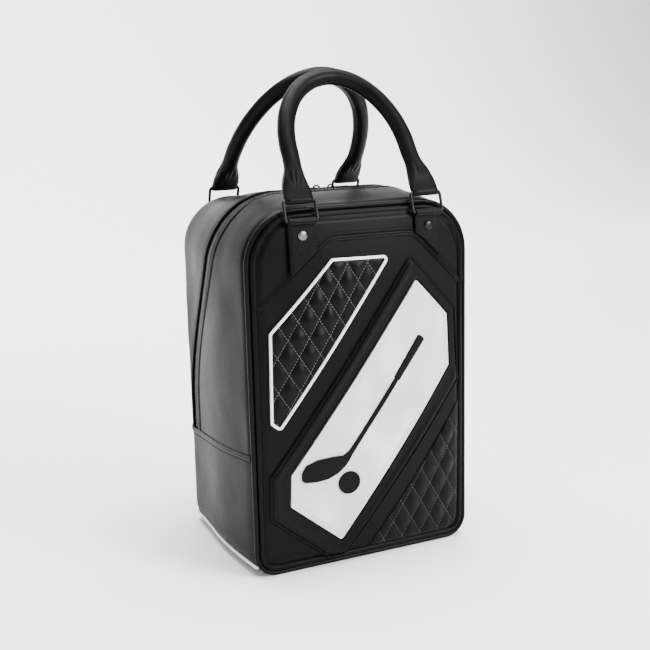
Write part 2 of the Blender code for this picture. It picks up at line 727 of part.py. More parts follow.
def make_handle(name, side, carry):
    """A rolled handle: flat loops at the rings and a round tube over the top."""
    middle, half, lean, leg, spread_x, length = carry
    bar_y = (BAR_FRONT if side < 0 else BAR_BACK) - side * RING_LEAN
    up = Vector((0, -side * sin(lean), cos(lean)))
    across = Vector((0, -side * cos(lean), -sin(lean)))
    path = handle_path(half, leg, spread_x, length)
    bm = bmesh.new()
    rings = []
    last = len(path) - 1
    for i, (x, h) in enumerate(path):
        ahead = Vector(path[min(i + 1, last)]) - Vector(path[max(i - 1, 0)])
        ahead.normalize()
        inside = Vector((ahead.y, 0, 0)) - up * ahead.x
        centre = Vector((middle + x, bar_y, RING_HIGH_Z)) + up * h
        flare = 1 - smooth((h - HANDLE_ENDS[-1]) / FLARE_LENGTH)
        wide = HANDLE_WIDE + (TAB_WIDTH / 2 - HANDLE_WIDE) * flare
        narrow = HANDLE_NARROW + (LOOP_RADIUS - HANDLE_NARROW) * flare
        power = 2 / (2 + 3 * flare)
        ring = []
        for k in range(HANDLE_SIDES):
            angle = 2 * pi * k / HANDLE_SIDES
            u = wide * abs(cos(angle)) ** power * (1 if cos(angle) >= 0 else -1)
            v = narrow * abs(sin(angle)) ** power * (1 if sin(angle) >= 0 else -1)
            ring.append(bm.verts.new(centre + inside * u + across * v))
        rings.append(ring)
    for first, second in zip(rings, rings[1:]):
        for k in range(HANDLE_SIDES):
            bm.faces.new((first[k], first[k - 1], second[k - 1], second[k]))
    bm.faces.new(rings[0])
    bm.faces.new(rings[-1])
    bmesh.ops.recalc_face_normals(bm, faces=bm.faces)
    handle = mesh_object(name, bm, BLACK, 0.4)
    for label, x in (("left", middle - half), ("right", middle + half)):
        hole = cutter(f"{name}_{label}_hole",
                      cylinder(LOOP_HOLE, 0.05, (x, bar_y, RING_HIGH_Z), (1, 0, 0)))
        boolean(handle, hole, "DIFFERENCE")


def make_carry_parts():
    for label, share in (("left", -1), ("right", 1)):
        x = FRONT_CARRY[0] + share * FRONT_CARRY[1]
        make_tab(f"front_tab_{label}", x, -1, front_y, lambda at: yoke_line(at, TAB_FOOT),
                 BAR_FRONT, RIVET_Z, TAB_SHIFT)
        make_ring(f"front_ring_{label}", x, BAR_FRONT, -1)
        x = BACK_CARRY[0] + share * BACK_CARRY[1]
        make_tab(f"back_tab_{label}", x, 1, back_y, lambda at: BACK_TAB_FOOT,
                 BAR_BACK, BACK_RIVET_Z, 2 * GAP)
        make_ring(f"back_ring_{label}", x, BAR_BACK, 1)
    make_handle("front_handle", -1, FRONT_CARRY)
    make_handle("back_handle", 1, BACK_CARRY)


# ---------------------------------------------------------------- zip sliders

SLIDER_PLATE = SLIDER_SIZE[2]
SLIDER_BASE = HEIGHT + TOP_SWELL - TEETH_DEPTH + GAP
PULLER_GAP = 0.0003
PULLER_Z = SLIDER_BASE + SLIDER_PLATE + PULLER_GAP + PULLER / 2
ZIP_Y = Y_FRONT + ZIP_TOP
BRIDGE = (0.007, 0.0018, 0.0038)
BRIDGE_HOLE = (0.004, 0.010, 0.0021)
PULLER_SLOT = (0.0042, 0.0028, 0.010)
ZIP_STOP = (0.0012, 0.004, 0.003)
ZIP_STOP_LIFT = 0.0010
ZIP_STOP_RISE = 0.004
ZIP_STOP_OFFSET = 0.003


def make_slider(label, side):
    """A slider's top plate with its bridge."""
    x = side * SLIDER_X
    top = SLIDER_BASE + SLIDER_PLATE
    middle = (x, ZIP_Y, SLIDER_BASE + SLIDER_PLATE / 2)
    plate = mesh_object(f"slider_{label}", box(SLIDER_SIZE, middle), GUNMETAL, 0.3, 1.0)
    bevel = plate.modifiers.new("edges", "BEVEL")
    bevel.width = 0.0006
    bevel.segments = 2
    bridge_middle = (x, ZIP_Y, top + BRIDGE[2] / 2 - PULLER_GAP)
    hole_middle = (x, ZIP_Y, top + BRIDGE_HOLE[2] / 2)
    boolean(plate, cutter(f"slider_{label}_bridge", box(BRIDGE, bridge_middle)), "UNION")
    boolean(plate, cutter(f"slider_{label}_hole", box(BRIDGE_HOLE, hole_middle)), "DIFFERENCE")


def make_puller(label, side):
    """The flat tag on a slider's bridge, with the slot that the bridge goes through."""
    x = side * SLIDER_X
    size = (PULLER_LENGTH + PULLER / 2, PULLER_WIDTH, PULLER)
    middle = (x + side * (PULLER_LENGTH - PULLER / 2) / 2, ZIP_Y, PULLER_Z)
    puller = mesh_object(f"puller_{label}", box(size, middle), GUNMETAL, 0.3, 1.0)
    slot_middle = (x + side * (PULLER + PULLER_SLOT[0]) / 2, ZIP_Y, PULLER_Z)
    boolean(puller, cutter(f"puller_{label}_slot", box(PULLER_SLOT, slot_middle)), "DIFFERENCE")


def make_zip_stop(label, side):
    """The small block that ends the teeth at the foot of one side."""
    y, half, _, _ = section(ZIP_LINE[0] - ZIP_STOP_OFFSET, TEETH_DEPTH)
    middle = (side * (half + ZIP_STOP_LIFT), y, wrap_top(ZIP_LINE[0]) + ZIP_STOP_RISE)
    mesh_object(f"zip_stop_{label}", box(ZIP_STOP, middle), GUNMETAL, 0.35, 1.0)


def make_zip_hardware():
    for label, side in (("left", -1), ("right", 1)):
        make_slider(label, side)
        make_puller(label, side)
        make_zip_stop(label, side)


# ---------------------------------------------------------------- joints

def pivot(name, place, members):
    """An empty on a joint's axis, which carries the pieces that move with it."""
    empty = bpy.data.objects.new(name, None)
    empty.location = place
    SOLIDS.objects.link(empty)
    for member in members:
        item = bpy.data.objects[member]
        item.parent = empty
        item.matrix_parent_inverse = Matrix.Translation(place).inverted()


def make_pivots():
    flap = ["back_panel", "back_board", "back_lining", "gusset_rear", "gusset_lining_rear",
            "zip_tape_rear", "zip_teeth_rear"]
    pivot("flap_fold", (0, Y_BACK, WRAP_REAR), flap)
    for side, bar, name in ((-1, BAR_FRONT, "front"), (1, BAR_BACK, "back")):
        pivot(f"{name}_ring_axis", (0, bar, RING_LOW_Z),
              [f"{name}_ring_left", f"{name}_ring_right"])
        pivot(f"{name}_handle_axis", (0, bar - side * RING_LEAN, RING_HIGH_Z), [f"{name}_handle"])
    for side, label in ((-1, "left"), (1, "right")):
        pivot(f"puller_{label}_axis", (side * SLIDER_X, ZIP_Y, PULLER_Z), [f"puller_{label}"])


def main():
    clear_scene()
    make_gussets()
    make_base()
    make_front()
    make_back()
    make_carry_parts()
    make_zip_hardware()
    make_pivots()


main()
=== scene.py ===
# %% [markdown]
# # A golf shoe bag, sewn in Blender
# The bag is a box of black synthetic leather. Its front is padded and decorated, a zip runs over
# the top and down both sides, and two rolled handles hang on wire rings. The hard facts (sizes,
# joints, collision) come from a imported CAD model. This lesson loads that model as a fixed frame
# and sews the visible leather, thread, zip and metal around it.

# %% Load the frame
from math import atan2, ceil, cos, hypot, pi, radians, sin, sqrt, tan

import bmesh
import bpy
import numpy as np
from mathutils import Matrix, Vector, noise


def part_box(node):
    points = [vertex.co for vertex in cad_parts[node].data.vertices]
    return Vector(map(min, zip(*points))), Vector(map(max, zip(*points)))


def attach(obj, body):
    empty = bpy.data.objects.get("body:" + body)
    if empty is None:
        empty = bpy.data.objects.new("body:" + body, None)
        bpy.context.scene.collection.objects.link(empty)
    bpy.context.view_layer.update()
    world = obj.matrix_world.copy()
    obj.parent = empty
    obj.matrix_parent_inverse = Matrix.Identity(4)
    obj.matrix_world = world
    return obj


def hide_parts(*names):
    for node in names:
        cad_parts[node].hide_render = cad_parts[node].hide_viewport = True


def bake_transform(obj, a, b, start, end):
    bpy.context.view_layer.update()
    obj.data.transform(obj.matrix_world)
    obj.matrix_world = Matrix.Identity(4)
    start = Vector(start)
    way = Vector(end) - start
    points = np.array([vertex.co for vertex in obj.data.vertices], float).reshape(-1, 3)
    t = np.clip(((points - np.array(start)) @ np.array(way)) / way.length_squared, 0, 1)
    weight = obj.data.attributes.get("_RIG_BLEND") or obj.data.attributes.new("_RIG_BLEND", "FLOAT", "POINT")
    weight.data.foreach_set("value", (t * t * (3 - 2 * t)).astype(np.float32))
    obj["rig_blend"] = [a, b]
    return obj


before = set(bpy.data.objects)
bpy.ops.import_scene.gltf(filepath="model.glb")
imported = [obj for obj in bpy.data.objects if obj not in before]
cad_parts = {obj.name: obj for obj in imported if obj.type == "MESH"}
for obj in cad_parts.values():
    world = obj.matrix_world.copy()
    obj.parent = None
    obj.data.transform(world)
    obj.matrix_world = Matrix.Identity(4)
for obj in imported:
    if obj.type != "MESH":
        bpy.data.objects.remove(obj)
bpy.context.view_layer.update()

scene = bpy.context.scene

# %% [markdown]
# ## The bag's sizes
# The leather is drawn with the same few rules as the CAD: an outline (side, rounded corner, top)
# that changes with the depth from the front. Writing the rules again here lets each panel have as
# many points as its folds and seams need. All lengths are in metres.

# %% Sizes shared by the panels
WIDTH, DEPTH, HEIGHT = 0.234, 0.190, 0.352
TOP_RADIUS, BOTTOM_RADIUS, REAR_RADIUS = 0.052, 0.022, 0.024
TOP_SWELL, SIDE_SWELL, CORNER_SWELL = 0.010, 0.0045, 0.014
Y_FRONT, Y_BACK = -0.0911, 0.0989
ZIP_TOP, ZIP_SIDE, ZIP_BEND_HIGH, ZIP_BEND_LOW = 0.075, 0.161, 0.355, 0.140
FRONT_EDGE, REAR_EDGE = 0.009, 0.005
WRAP_FRONT, WRAP_REAR, WRAP_LOW = 0.122, 0.108, 0.010
FLAT_DEPTH = DEPTH - REAR_RADIUS
REAR_END = FLAT_DEPTH + REAR_RADIUS * pi / 2
SHELL_START = 0.0026
LEATHER = 0.0022
GAP = 0.0004


def smooth(x):
    x = min(max(x, 0.0), 1.0)
    return x * x * (3 - 2 * x)


def bell(x, centre, half_width):
    """A soft hump of height 1 that reaches 0 at half_width from its centre."""
    share = min(abs(x - centre) / half_width, 1.0)
    return (1 - share * share) ** 2


def spread(low, high, count):
    return [low + (high - low) * i / count for i in range(count + 1)]


def sag(point, size=0.05, seed=0.0):
    """A slow random wave, from -1 to 1, for leather that isn't quite flat."""
    return noise.noise(Vector(point) / size + Vector((seed, seed, seed)))


print("front panel:", 1000 * WIDTH, "x", 1000 * HEIGHT, "mm")

# %% [markdown]
# ## Materials
# Every finish is a node material. Patterns read Object coordinates, so the grain has its real
# size in metres and stays put when a piece moves. Leather needs three things: a grain of small
# cells in the bump, a slow change of gloss, and a faint change of colour.

# %% Helpers for materials
FINISHES = {}


class Finish:
    """A small builder for one Principled material."""

    def __init__(self, name, color, roughness, metallic=0.0, **constants):
        self.material = bpy.data.materials.new(name)
        self.material.use_nodes = True
        self.tree = self.material.node_tree
        self.shader = self.tree.nodes["Principled BSDF"]
        self.color, self.rough = color, roughness
        values = {"Base Color": (*color, 1), "Roughness": roughness, "Metallic": metallic}
        for socket, value in {**values, **constants}.items():
            self.shader.inputs[socket].default_value = value
        self.place = self.node("ShaderNodeTexCoord").outputs["Object"]
        self.normal = None
        FINISHES[name] = self.material

    def node(self, kind, **inputs):
        made = self.tree.nodes.new(kind)
        for socket, value in inputs.items():
            self.put(value, made.inputs[socket.replace("_", " ")])
        return made

    def put(self, value, socket):
        if isinstance(value, bpy.types.NodeSocket):
            self.tree.links.new(value, socket)
        else:
            socket.default_value = value

    def noise(self, scale, detail=3.0, place=None):
        return self.node("ShaderNodeTexNoise", Vector=place or self.place, Scale=scale,
                         Detail=detail).outputs["Fac"]

    def cells(self, scale, feature="F1", place=None, warp=0.0):
        place = place or self.place
        if warp:
            wobble = self.node("ShaderNodeTexNoise", Vector=place, Scale=scale * 0.35)
            place = self.vector("MULTIPLY_ADD", wobble.outputs["Color"], (warp,) * 3, place)
        made = self.node("ShaderNodeTexVoronoi", Vector=place, Scale=scale)
        made.feature = feature
        return made.outputs["Distance"]

    def vector(self, operation, *values):
        made = self.tree.nodes.new("ShaderNodeVectorMath")
        made.operation = operation
        for value, socket in zip(values, made.inputs):
            self.put(value, socket)
        return made.outputs["Vector"]

    def math(self, operation, *values):
        made = self.tree.nodes.new("ShaderNodeMath")
        made.operation = operation
        for value, socket in zip(values, made.inputs):
            self.put(value, socket)
        return made.outputs["Value"]

    def range(self, value, low, high, to_low, to_high):
        made = self.node("ShaderNodeMapRange", Value=value)
        for socket, number in zip(list(made.inputs)[1:5], (low, high, to_low, to_high)):
            socket.default_value = number
        return made.outputs["Result"]

    def bump(self, height, distance, strength=1.0):
        made = self.node("ShaderNodeBump", Height=height, Distance=distance, Strength=strength)
        if self.normal:
            self.put(self.normal, made.inputs["Normal"])
        self.normal = made.outputs["Normal"]
        self.put(self.normal, self.shader.inputs["Normal"])
        return self

    def mottle(self, value, darker, lighter):
        """Colour that wanders between two tones with a pattern value of 0 to 1."""
        made = self.tree.nodes.new("ShaderNodeMix")
        made.data_type = "RGBA"
        self.put(value, made.inputs["Factor"])
        for socket, tone in zip([s for s in made.inputs if s.type == "RGBA"], (darker, lighter)):
            socket.default_value = (*tone, 1)
        color = next(s for s in made.outputs if s.type == "RGBA")
        self.put(color, self.shader.inputs["Base Color"])
        return self

    def uneven(self, value, low, high):
        """Roughness that follows a pattern value."""
        self.put(self.range(value, 0.3, 0.7, low, high), self.shader.inputs["Roughness"])
        return self


def tone(color, factor):
    return tuple(min(1.0, c * factor) for c in color)


# %% [markdown]
# ### Leathers
# The smooth leather has a fine pebble of about half a millimetre. The quilted leather is softer
# and a little glossier on its puffs. The white leather is the same hide dyed white, and piping is
# leather pulled tight round a cord, so its grain is stretched flat.

# %% Leather finishes
def leather(name, color, rough, grain=0.00007, scale=1500.0):
    made = Finish(name, color, sum(rough) / 2, **{"Specular IOR Level": 0.18, "IOR": 1.25})
    slow, fine = made.noise(14.0, 2.0), made.noise(420.0, 2.0)
    made.mottle(made.range(slow, 0.3, 0.7, 0.0, 1.0), tone(color, 0.88), tone(color, 1.14))
    made.uneven(made.math("MULTIPLY_ADD", fine, 0.5, made.math("MULTIPLY", slow, 0.5)), *rough)
    cells = made.cells(scale, "SMOOTH_F1", warp=0.0006)
    made.bump(made.math("SUBTRACT", 1.0, cells), grain, 0.55)
    made.bump(made.noise(160.0, 2.0), 0.00022, 0.30)
    return made


BLACK = (0.0024, 0.0024, 0.0027)
WHITE = (0.80, 0.80, 0.79)
leather("black_leather", BLACK, (0.34, 0.48))
leather("quilted_leather", (0.0028, 0.0028, 0.0031), (0.33, 0.46), 0.00012)
leather("piping_leather", (0.0030, 0.0030, 0.0034), (0.30, 0.42), 0.00006, 1900.0)
leather("white_leather", (0.56, 0.56, 0.565), (0.42, 0.55), 0.00008)
leather("white_piping", WHITE, (0.38, 0.50), 0.00006, 1700.0)
leather("badge_leather", (0.0026, 0.0026, 0.0029), (0.36, 0.46), 0.00007)
leather("black_rubber", (0.0040, 0.0040, 0.0044), (0.52, 0.66), 0.00012, 900.0)
leather("dot_print", (0.95, 0.95, 0.95), (0.45, 0.55), 0.00003)
print("leathers:", sorted(FINISHES))

# %% [markdown]
# ### Cloth, thread and metal
# The lining is a plain weave, and the zip tape a tighter one. A weave is two sets of rounded
# threads at right angles, made with sine waves. Thread is the same idea with a twist. The wire,
# rivets and sliders are plated metal with faint brush marks.

# %% Cloth, thread and metal finishes
def weave(name, color, rough, pitch, depth, uv=False, sheen=0.25):
    made = Finish(name, color, rough, **{"Specular IOR Level": 0.4 * sheen, "Sheen Weight": sheen})
    place = made.node("ShaderNodeUVMap").outputs["UV"] if uv else made.place
    parts = made.node("ShaderNodeSeparateXYZ", Vector=place)
    along = [made.math("SINE", made.math("MULTIPLY", parts.outputs[axis], 2 * pi / pitch))
             for axis in (("X", "Y") if uv else ("X", "Z"))]
    if not uv:
        depth_way = made.math("SINE", made.math("MULTIPLY", parts.outputs["Y"], 2 * pi / pitch))
        along[0] = made.math("ADD", along[0], depth_way)
    thread = made.math("MULTIPLY", along[0], along[1])
    made.bump(made.range(thread, -1.0, 1.0, 0.0, 1.0), depth, 0.8)
    # The colour follows the thread height used for the bump: painted shade in the gaps between threads and
    # painted light on their crowns.
    made.mottle(made.range(thread, -1.0, 1.0, 0.0, 1.0), tone(color, 0.7), tone(color, 1.25))
    return made


def metal(name, color, rough):
    made = Finish(name, color, sum(rough) / 2, 1.0)
    brush = made.noise(260.0, 4.0)
    made.uneven(brush, *rough)
    made.mottle(made.range(made.noise(90.0), 0.35, 0.65, 0.0, 1.0), tone(color, 0.86),
                tone(color, 1.1))
    made.bump(brush, 0.00002, 0.4)
    return made


weave("lining_cloth", (0.020, 0.020, 0.022), 0.82, 0.0011, 0.00018)
weave("zip_cloth", (0.007, 0.007, 0.008), 0.72, 0.0008, 0.00022, uv=True, sheen=0.08)
weave("pale_thread", (0.17, 0.17, 0.175), 0.62, 0.0005, 0.00008, sheen=0.0)
weave("grey_thread", (0.085, 0.085, 0.09), 0.62, 0.0005, 0.00008, sheen=0.0)
weave("dark_thread", (0.005, 0.005, 0.0055), 0.55, 0.0005, 0.00008, sheen=0.0)
metal("gunmetal", (0.018, 0.018, 0.020), (0.34, 0.46))
# A brighter metal used only on the front left rivet, as a painted highlight. The other rivets are gunmetal.
metal("silver", (0.13, 0.13, 0.133), (0.30, 0.42))
teeth_finish = Finish("zip_resin", (0.010, 0.010, 0.011), 0.40)
teeth_finish.bump(teeth_finish.noise(900.0), 0.00003, 0.5).uneven(teeth_finish.noise(300.0), 0.3, 0.4)
board_finish = Finish("board", (0.03, 0.03, 0.03), 0.85)
board_finish.mottle(board_finish.noise(120.0, 6.0), (0.025, 0.025, 0.025), (0.035, 0.035, 0.035))
board_finish.bump(board_finish.noise(700.0), 0.00005, 0.6)
print("finishes:", len(FINISHES))

# %% [markdown]
# ## Making a mesh from rows of points
# Nearly every leather piece here is a strip with a closed section, such as a folded edge: the
# outer face, a rolled edge, and the back. Setting that section at each station along the strip
# and joining the rows gives one closed, outward-facing solid. The helper also writes a UV map in
# metres, so that a woven strip's threads can follow it.

# %% Mesh helpers
SHARP = radians(38)


def settle(item, body, nodes=()):
    """Attach the piece to what it moves with, and hide the CAD parts that it stands for."""
    if body == "fold":
        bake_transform(item, "root", "flap", start=(0, Y_BACK, FOLD_LOW), end=(0, Y_BACK, FOLD_HIGH))
    else:
        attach(item, body)
    if nodes:
        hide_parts(*nodes)
    return item


FOLD_LOW, FOLD_HIGH = 0.109, 0.150


def piece(name, bm, finish, sharp=SHARP):
    """Close off a bmesh as an object with one finish, smooth apart from real edges."""
    bmesh.ops.recalc_face_normals(bm, faces=bm.faces)
    mesh = bpy.data.meshes.new(name)
    bm.to_mesh(mesh)
    bm.free()
    mesh.materials.append(FINISHES[finish])
    mesh.shade_smooth()
    mesh.set_sharp_from_angle(angle=sharp)
    item = bpy.data.objects.new(name, mesh)
    scene.collection.objects.link(item)
    return item


def loft(rows, closed=True, ring=False):
    """Join rows of points. closed: each row is a loop. ring: the last row joins the first."""
    bm = bmesh.new()
    uv = bm.loops.layers.uv.new("UVMap")
    grid = [[bm.verts.new(point) for point in row] for row in rows]
    count, wide = len(grid), len(grid[0])
    middle = [sum((Vector(p) for p in row), Vector()) / wide for row in rows]
    along, around = [0.0], [0.0]
    for i in range(1, count + 1):
        along.append(along[-1] + (middle[i % count] - middle[i - 1]).length)
    for j in range(1, wide + 1):
        around.append(around[-1] + (Vector(rows[0][j % wide]) - Vector(rows[0][j - 1])).length)
    for i in range(count if ring else count - 1):
        for j in range(wide if closed else wide - 1):
            corners = ((i, j), (i + 1, j), (i + 1, j + 1), (i, j + 1))
            face = bm.faces.new([grid[a % count][b % wide] for a, b in corners])
            for loop, (a, b) in zip(face.loops, corners):
                loop[uv].uv = (along[a], around[b])
    if closed and not ring:
        bm.faces.new(grid[0])
        bm.faces.new(grid[-1])
    return bm


def framed(path, outward, closed):
    """Point, outward normal and side vector at each point of a path."""
    result, last = [], len(path) - 1
    for i, point in enumerate(path):
        before = path[i - 1] if closed or i else path[0]
        after = path[(i + 1) % len(path)] if closed else path[min(i + 1, last)]
        ahead = (Vector(after) - Vector(before)).normalized()
        out = Vector(outward(i) if callable(outward) else outward)
        out = (out - ahead * out.dot(ahead)).normalized()
        result.append((Vector(point), out, ahead.cross(out)))
    return result


def sweep(path, section, outward, closed=False):
    """Carry a closed section (list of (side, out)) along a path."""
    rows = []
    for i, (point, out, side) in enumerate(framed(path, outward, closed)):
        outline = section(i) if callable(section) else section
        rows.append([point + side * a + out * b for a, b in outline])
    return loft(rows, True, closed)


def circle(radius, sides=16):
    return [(radius * cos(2 * pi * k / sides), radius * sin(2 * pi * k / sides))
            for k in range(sides)]


def dense(points, step, closed=False):
    """Add points along a line so that none are further apart than a step."""
    result = []
    pairs = list(zip(points, points[1:] + points[:1] if closed else points[1:]))
    for first, second in pairs:
        first, second = Vector(first), Vector(second)
        count = max(1, ceil((second - first).length / step))
        result += [tuple(first.lerp(second, k / count)) for k in range(count)]
    return result if closed else result + [tuple(points[-1])]


def rounded(points, radius, steps=6):
    """Round the corners of a closed outline with arcs."""
    result = []
    for i, corner in enumerate(points):
        corner = Vector(corner)
        before = (Vector(points[i - 1]) - corner).normalized()
        after = (Vector(points[(i + 1) % len(points)]) - corner).normalized()
        half = before.angle(after) / 2
        reach = radius / tan(half)
        middle = corner + (before + after).normalized() * (radius / sin(half))
        start, end = corner + before * reach - middle, corner + after * reach - middle
        result += [tuple(middle + start.lerp(end, k / steps).normalized() * radius)
                   for k in range(steps + 1)]
    return result


def narrowed(points, distance):
    """A closed convex outline moved inwards by a distance."""
    area = sum(points[i - 1][0] * points[i][1] - points[i][0] * points[i - 1][1]
               for i in range(len(points)))
    side = 1 if area > 0 else -1
    result = []
    for i, point in enumerate(points):
        here = Vector(point)
        first = (here - Vector(points[i - 1])).normalized()
        second = (Vector(points[(i + 1) % len(points)]) - here).normalized()
        one, two = Vector((-first.y, first.x)) * side, Vector((-second.y, second.x)) * side
        middle = (one + two).normalized()
        result.append(tuple(here + middle * (distance / middle.dot(one))))
    return result


print("mesh helpers ready")

# %% [markdown]
# ## Stitches, teeth and dots with Geometry Nodes
# A seam is one small shape repeated along a line, which is just what Geometry Nodes are good at.
# The tree turns a line of points into a curve, spaces points on it by the pitch, turns each copy
# to the line's direction and to the leather's outward side, and makes the result real. A second
# tree puts one shape on loose points, each with its own size.

# %% The row tree
def group_input(tree, *sockets):
    for name, kind in sockets:
        tree.interface.new_socket(name=name, in_out="INPUT", socket_type="NodeSocket" + kind)
    tree.interface.new_socket(name="Made", in_out="OUTPUT", socket_type="NodeSocketGeometry")
    return tree.nodes.new("NodeGroupInput").outputs


def repeat_tree(name, on_line):
    tree = bpy.data.node_groups.new(name, "GeometryNodeTree")
    given = group_input(tree, ("Line", "Geometry"), ("Shape", "Object"), ("Pitch", "Float"),
                        ("Finish", "Material"))
    new, link = tree.nodes.new, tree.links.new
    source = given["Line"]
    outward = new("GeometryNodeInputNamedAttribute")
    outward.data_type = "FLOAT_VECTOR"
    outward.inputs["Name"].default_value = "outward"
    face = new("FunctionNodeAlignRotationToVector")
    face.axis = "Z"
    link(outward.outputs["Attribute"], face.inputs["Vector"])
    rotation = face.outputs["Rotation"]
    shape = new("GeometryNodeObjectInfo")
    link(given["Shape"], shape.inputs["Object"])
    place = new("GeometryNodeInstanceOnPoints")
    if on_line:
        line = new("GeometryNodeMeshToCurve")
        link(source, line.inputs["Mesh"])
        spaced = new("GeometryNodeResampleCurve")
        spaced.mode = "LENGTH"
        link(line.outputs["Curve"], spaced.inputs["Curve"])
        link(given["Pitch"], spaced.inputs["Length"])
        source = spaced.outputs["Curve"]
        turn = new("FunctionNodeAlignRotationToVector")
        turn.axis, turn.pivot_axis = "X", "Z"
        link(rotation, turn.inputs["Rotation"])
        link(new("GeometryNodeInputTangent").outputs["Tangent"], turn.inputs["Vector"])
        rotation = turn.outputs["Rotation"]
    else:
        size = new("GeometryNodeInputNamedAttribute")
        size.data_type = "FLOAT"
        size.inputs["Name"].default_value = "size"
        link(size.outputs["Attribute"], place.inputs["Scale"])
    link(source, place.inputs["Points"])
    link(shape.outputs["Geometry"], place.inputs["Instance"])
    link(rotation, place.inputs["Rotation"])
    real, coat = new("GeometryNodeRealizeInstances"), new("GeometryNodeSetMaterial")
    link(place.outputs["Instances"], real.inputs["Geometry"])
    link(real.outputs["Geometry"], coat.inputs["Geometry"])
    link(given["Finish"], coat.inputs["Material"])
    link(coat.outputs["Geometry"], new("NodeGroupOutput").inputs["Made"])
    return tree


LINE_TREE = repeat_tree("shapes_along_a_line", True)
POINT_TREE = repeat_tree("shapes_on_points", False)


def repeated(name, lines, shape, finish, pitch=0.0, sizes=None):
    """Run a tree on lines of (point, outward) pairs and return a plain mesh object."""
    tree = LINE_TREE if sizes is None else POINT_TREE
    bm = bmesh.new()
    layer = bm.verts.layers.float_vector.new("outward")
    size_layer = bm.verts.layers.float.new("size")
    for line in lines:
        verts = []
        for k, (point, outward) in enumerate(line):
            vert = bm.verts.new(point)
            vert[layer] = Vector(outward).normalized()
            vert[size_layer] = sizes[k] if sizes else 1.0
            verts.append(vert)
        if sizes is None:
            for first, second in zip(verts, verts[1:]):
                bm.edges.new((first, second))
    mesh = bpy.data.meshes.new(name + "_line")
    bm.to_mesh(mesh)
    bm.free()
    source = bpy.data.objects.new(name + "_line", mesh)
    scene.collection.objects.link(source)
    step = source.modifiers.new("repeat", "NODES")
    step.node_group = tree
    sockets = {item.name: item.identifier for item in tree.interface.items_tree
               if item.in_out == "INPUT"}
    step[sockets["Shape"]] = shape
    step[sockets["Pitch"]] = pitch
    step[sockets["Finish"]] = FINISHES[finish]
    bpy.context.view_layer.update()
    graph = bpy.context.evaluated_depsgraph_get()
    made = bpy.data.meshes.new_from_object(source.evaluated_get(graph))
    bpy.data.objects.remove(source)
    made.name = name
    made.shade_smooth()
    made.set_sharp_from_angle(angle=SHARP)
    item = bpy.data.objects.new(name, made)
    scene.collection.objects.link(item)
    print(f"{name}: {len(made.polygons)} faces")
    return item


def template(name, bm):
    mesh = bpy.data.meshes.new(name)
    bm.to_mesh(mesh)
    bm.free()
    return bpy.data.objects.new(name, mesh)


def grain_shape(name, length, width, height):
    """One stitch: a grain of thread that dips into the leather at both ends."""
    bm = bmesh.new()
    bmesh.ops.create_uvsphere(bm, u_segments=8, v_segments=6, radius=0.5,
                              matrix=Matrix.Rotation(pi / 2, 4, "Y"))
    for vert in bm.verts:
        vert.co = (vert.co.x * length, vert.co.y * width,
                   vert.co.z * height - 1.2 * width * (vert.co.x * 2) ** 2 * 0.25)
    return template(name, bm)


STITCH = grain_shape("stitch", 0.0027, 0.00062, 0.00062)
SMALL_STITCH = grain_shape("small_stitch", 0.0022, 0.00066, 0.00060)
QUILT_STITCH = grain_shape("quilt_stitch", 0.0022, 0.00040, 0.00040)


def stitches(name, lines, body, finish="dark_thread", pitch=0.0034, shape=STITCH):
    return settle(repeated(name, lines, shape, finish, pitch), body)


print("trees:", LINE_TREE.name, POINT_TREE.name)

# %% [markdown]
# ## Camera, floor and light
# The camera stands to the left of the front and a little above it, with a long lens. The floor is
# a pale sheet that curves up far behind the bag, as a studio roll does. Three large soft lamps
# and a bright room give the long, soft highlights that black leather needs to be read at all.

# %% Camera
CAMERA_SIDE, CAMERA_RISE, CAMERA_ROLL = radians(-25.49), radians(11.69), radians(-1.45)
CAMERA_TARGET, CAMERA_DISTANCE = Vector((0.0072, 0.0035, 0.2184)), 1.151
back = Vector((sin(CAMERA_SIDE) * cos(CAMERA_RISE), -cos(CAMERA_SIDE) * cos(CAMERA_RISE),
               sin(CAMERA_RISE)))
camera = bpy.data.objects.new("camera", bpy.data.cameras.new("camera"))
camera.data.lens, camera.data.sensor_width = 61.2, 36.0
camera.rotation_mode = "QUATERNION"
camera.location = CAMERA_TARGET + back * CAMERA_DISTANCE
right = Vector((cos(CAMERA_SIDE), sin(CAMERA_SIDE), 0))
up = back.cross(right)
axes = Matrix((right * cos(CAMERA_ROLL) + up * sin(CAMERA_ROLL),
               up * cos(CAMERA_ROLL) - right * sin(CAMERA_ROLL), back)).transposed()
camera.rotation_quaternion = axes.to_quaternion()
scene.collection.objects.link(camera)
scene.camera = camera
print("camera at", [round(v, 3) for v in camera.location])

# %% Floor and light
def studio_roll():
    profile = [(-5.0, 0.0), (2.0, 0.0)]
    profile += [(2.0 + 1.6 * sin(a), 1.6 - 1.6 * cos(a)) for a in spread(0, pi / 2, 16)[1:]]
    profile += [(3.6, 5.0)]
    bm = loft([[(x, y, z) for y, z in profile] for x in (-6.0, 6.0)], closed=False)
    item = piece("studio_roll", bm, "studio_paper")


paper = Finish("studio_paper", (0.93, 0.93, 0.93), 0.9, **{"Specular IOR Level": 0.1})
paper.mottle(paper.noise(1.5, 2.0), (0.925, 0.925, 0.925), (0.935, 0.935, 0.935))
studio_roll()


def softbox(name, place, aim, size, power):
    lamp = bpy.data.lights.new(name, "AREA")
    lamp.shape, lamp.size, lamp.size_y, lamp.energy = "RECTANGLE", *size, power
    item = bpy.data.objects.new(name, lamp)
    item.location = place
    item.rotation_mode = "QUATERNION"
    item.rotation_quaternion = (Vector(aim) - Vector(place)).to_track_quat("-Z", "Y")
    scene.collection.objects.link(item)


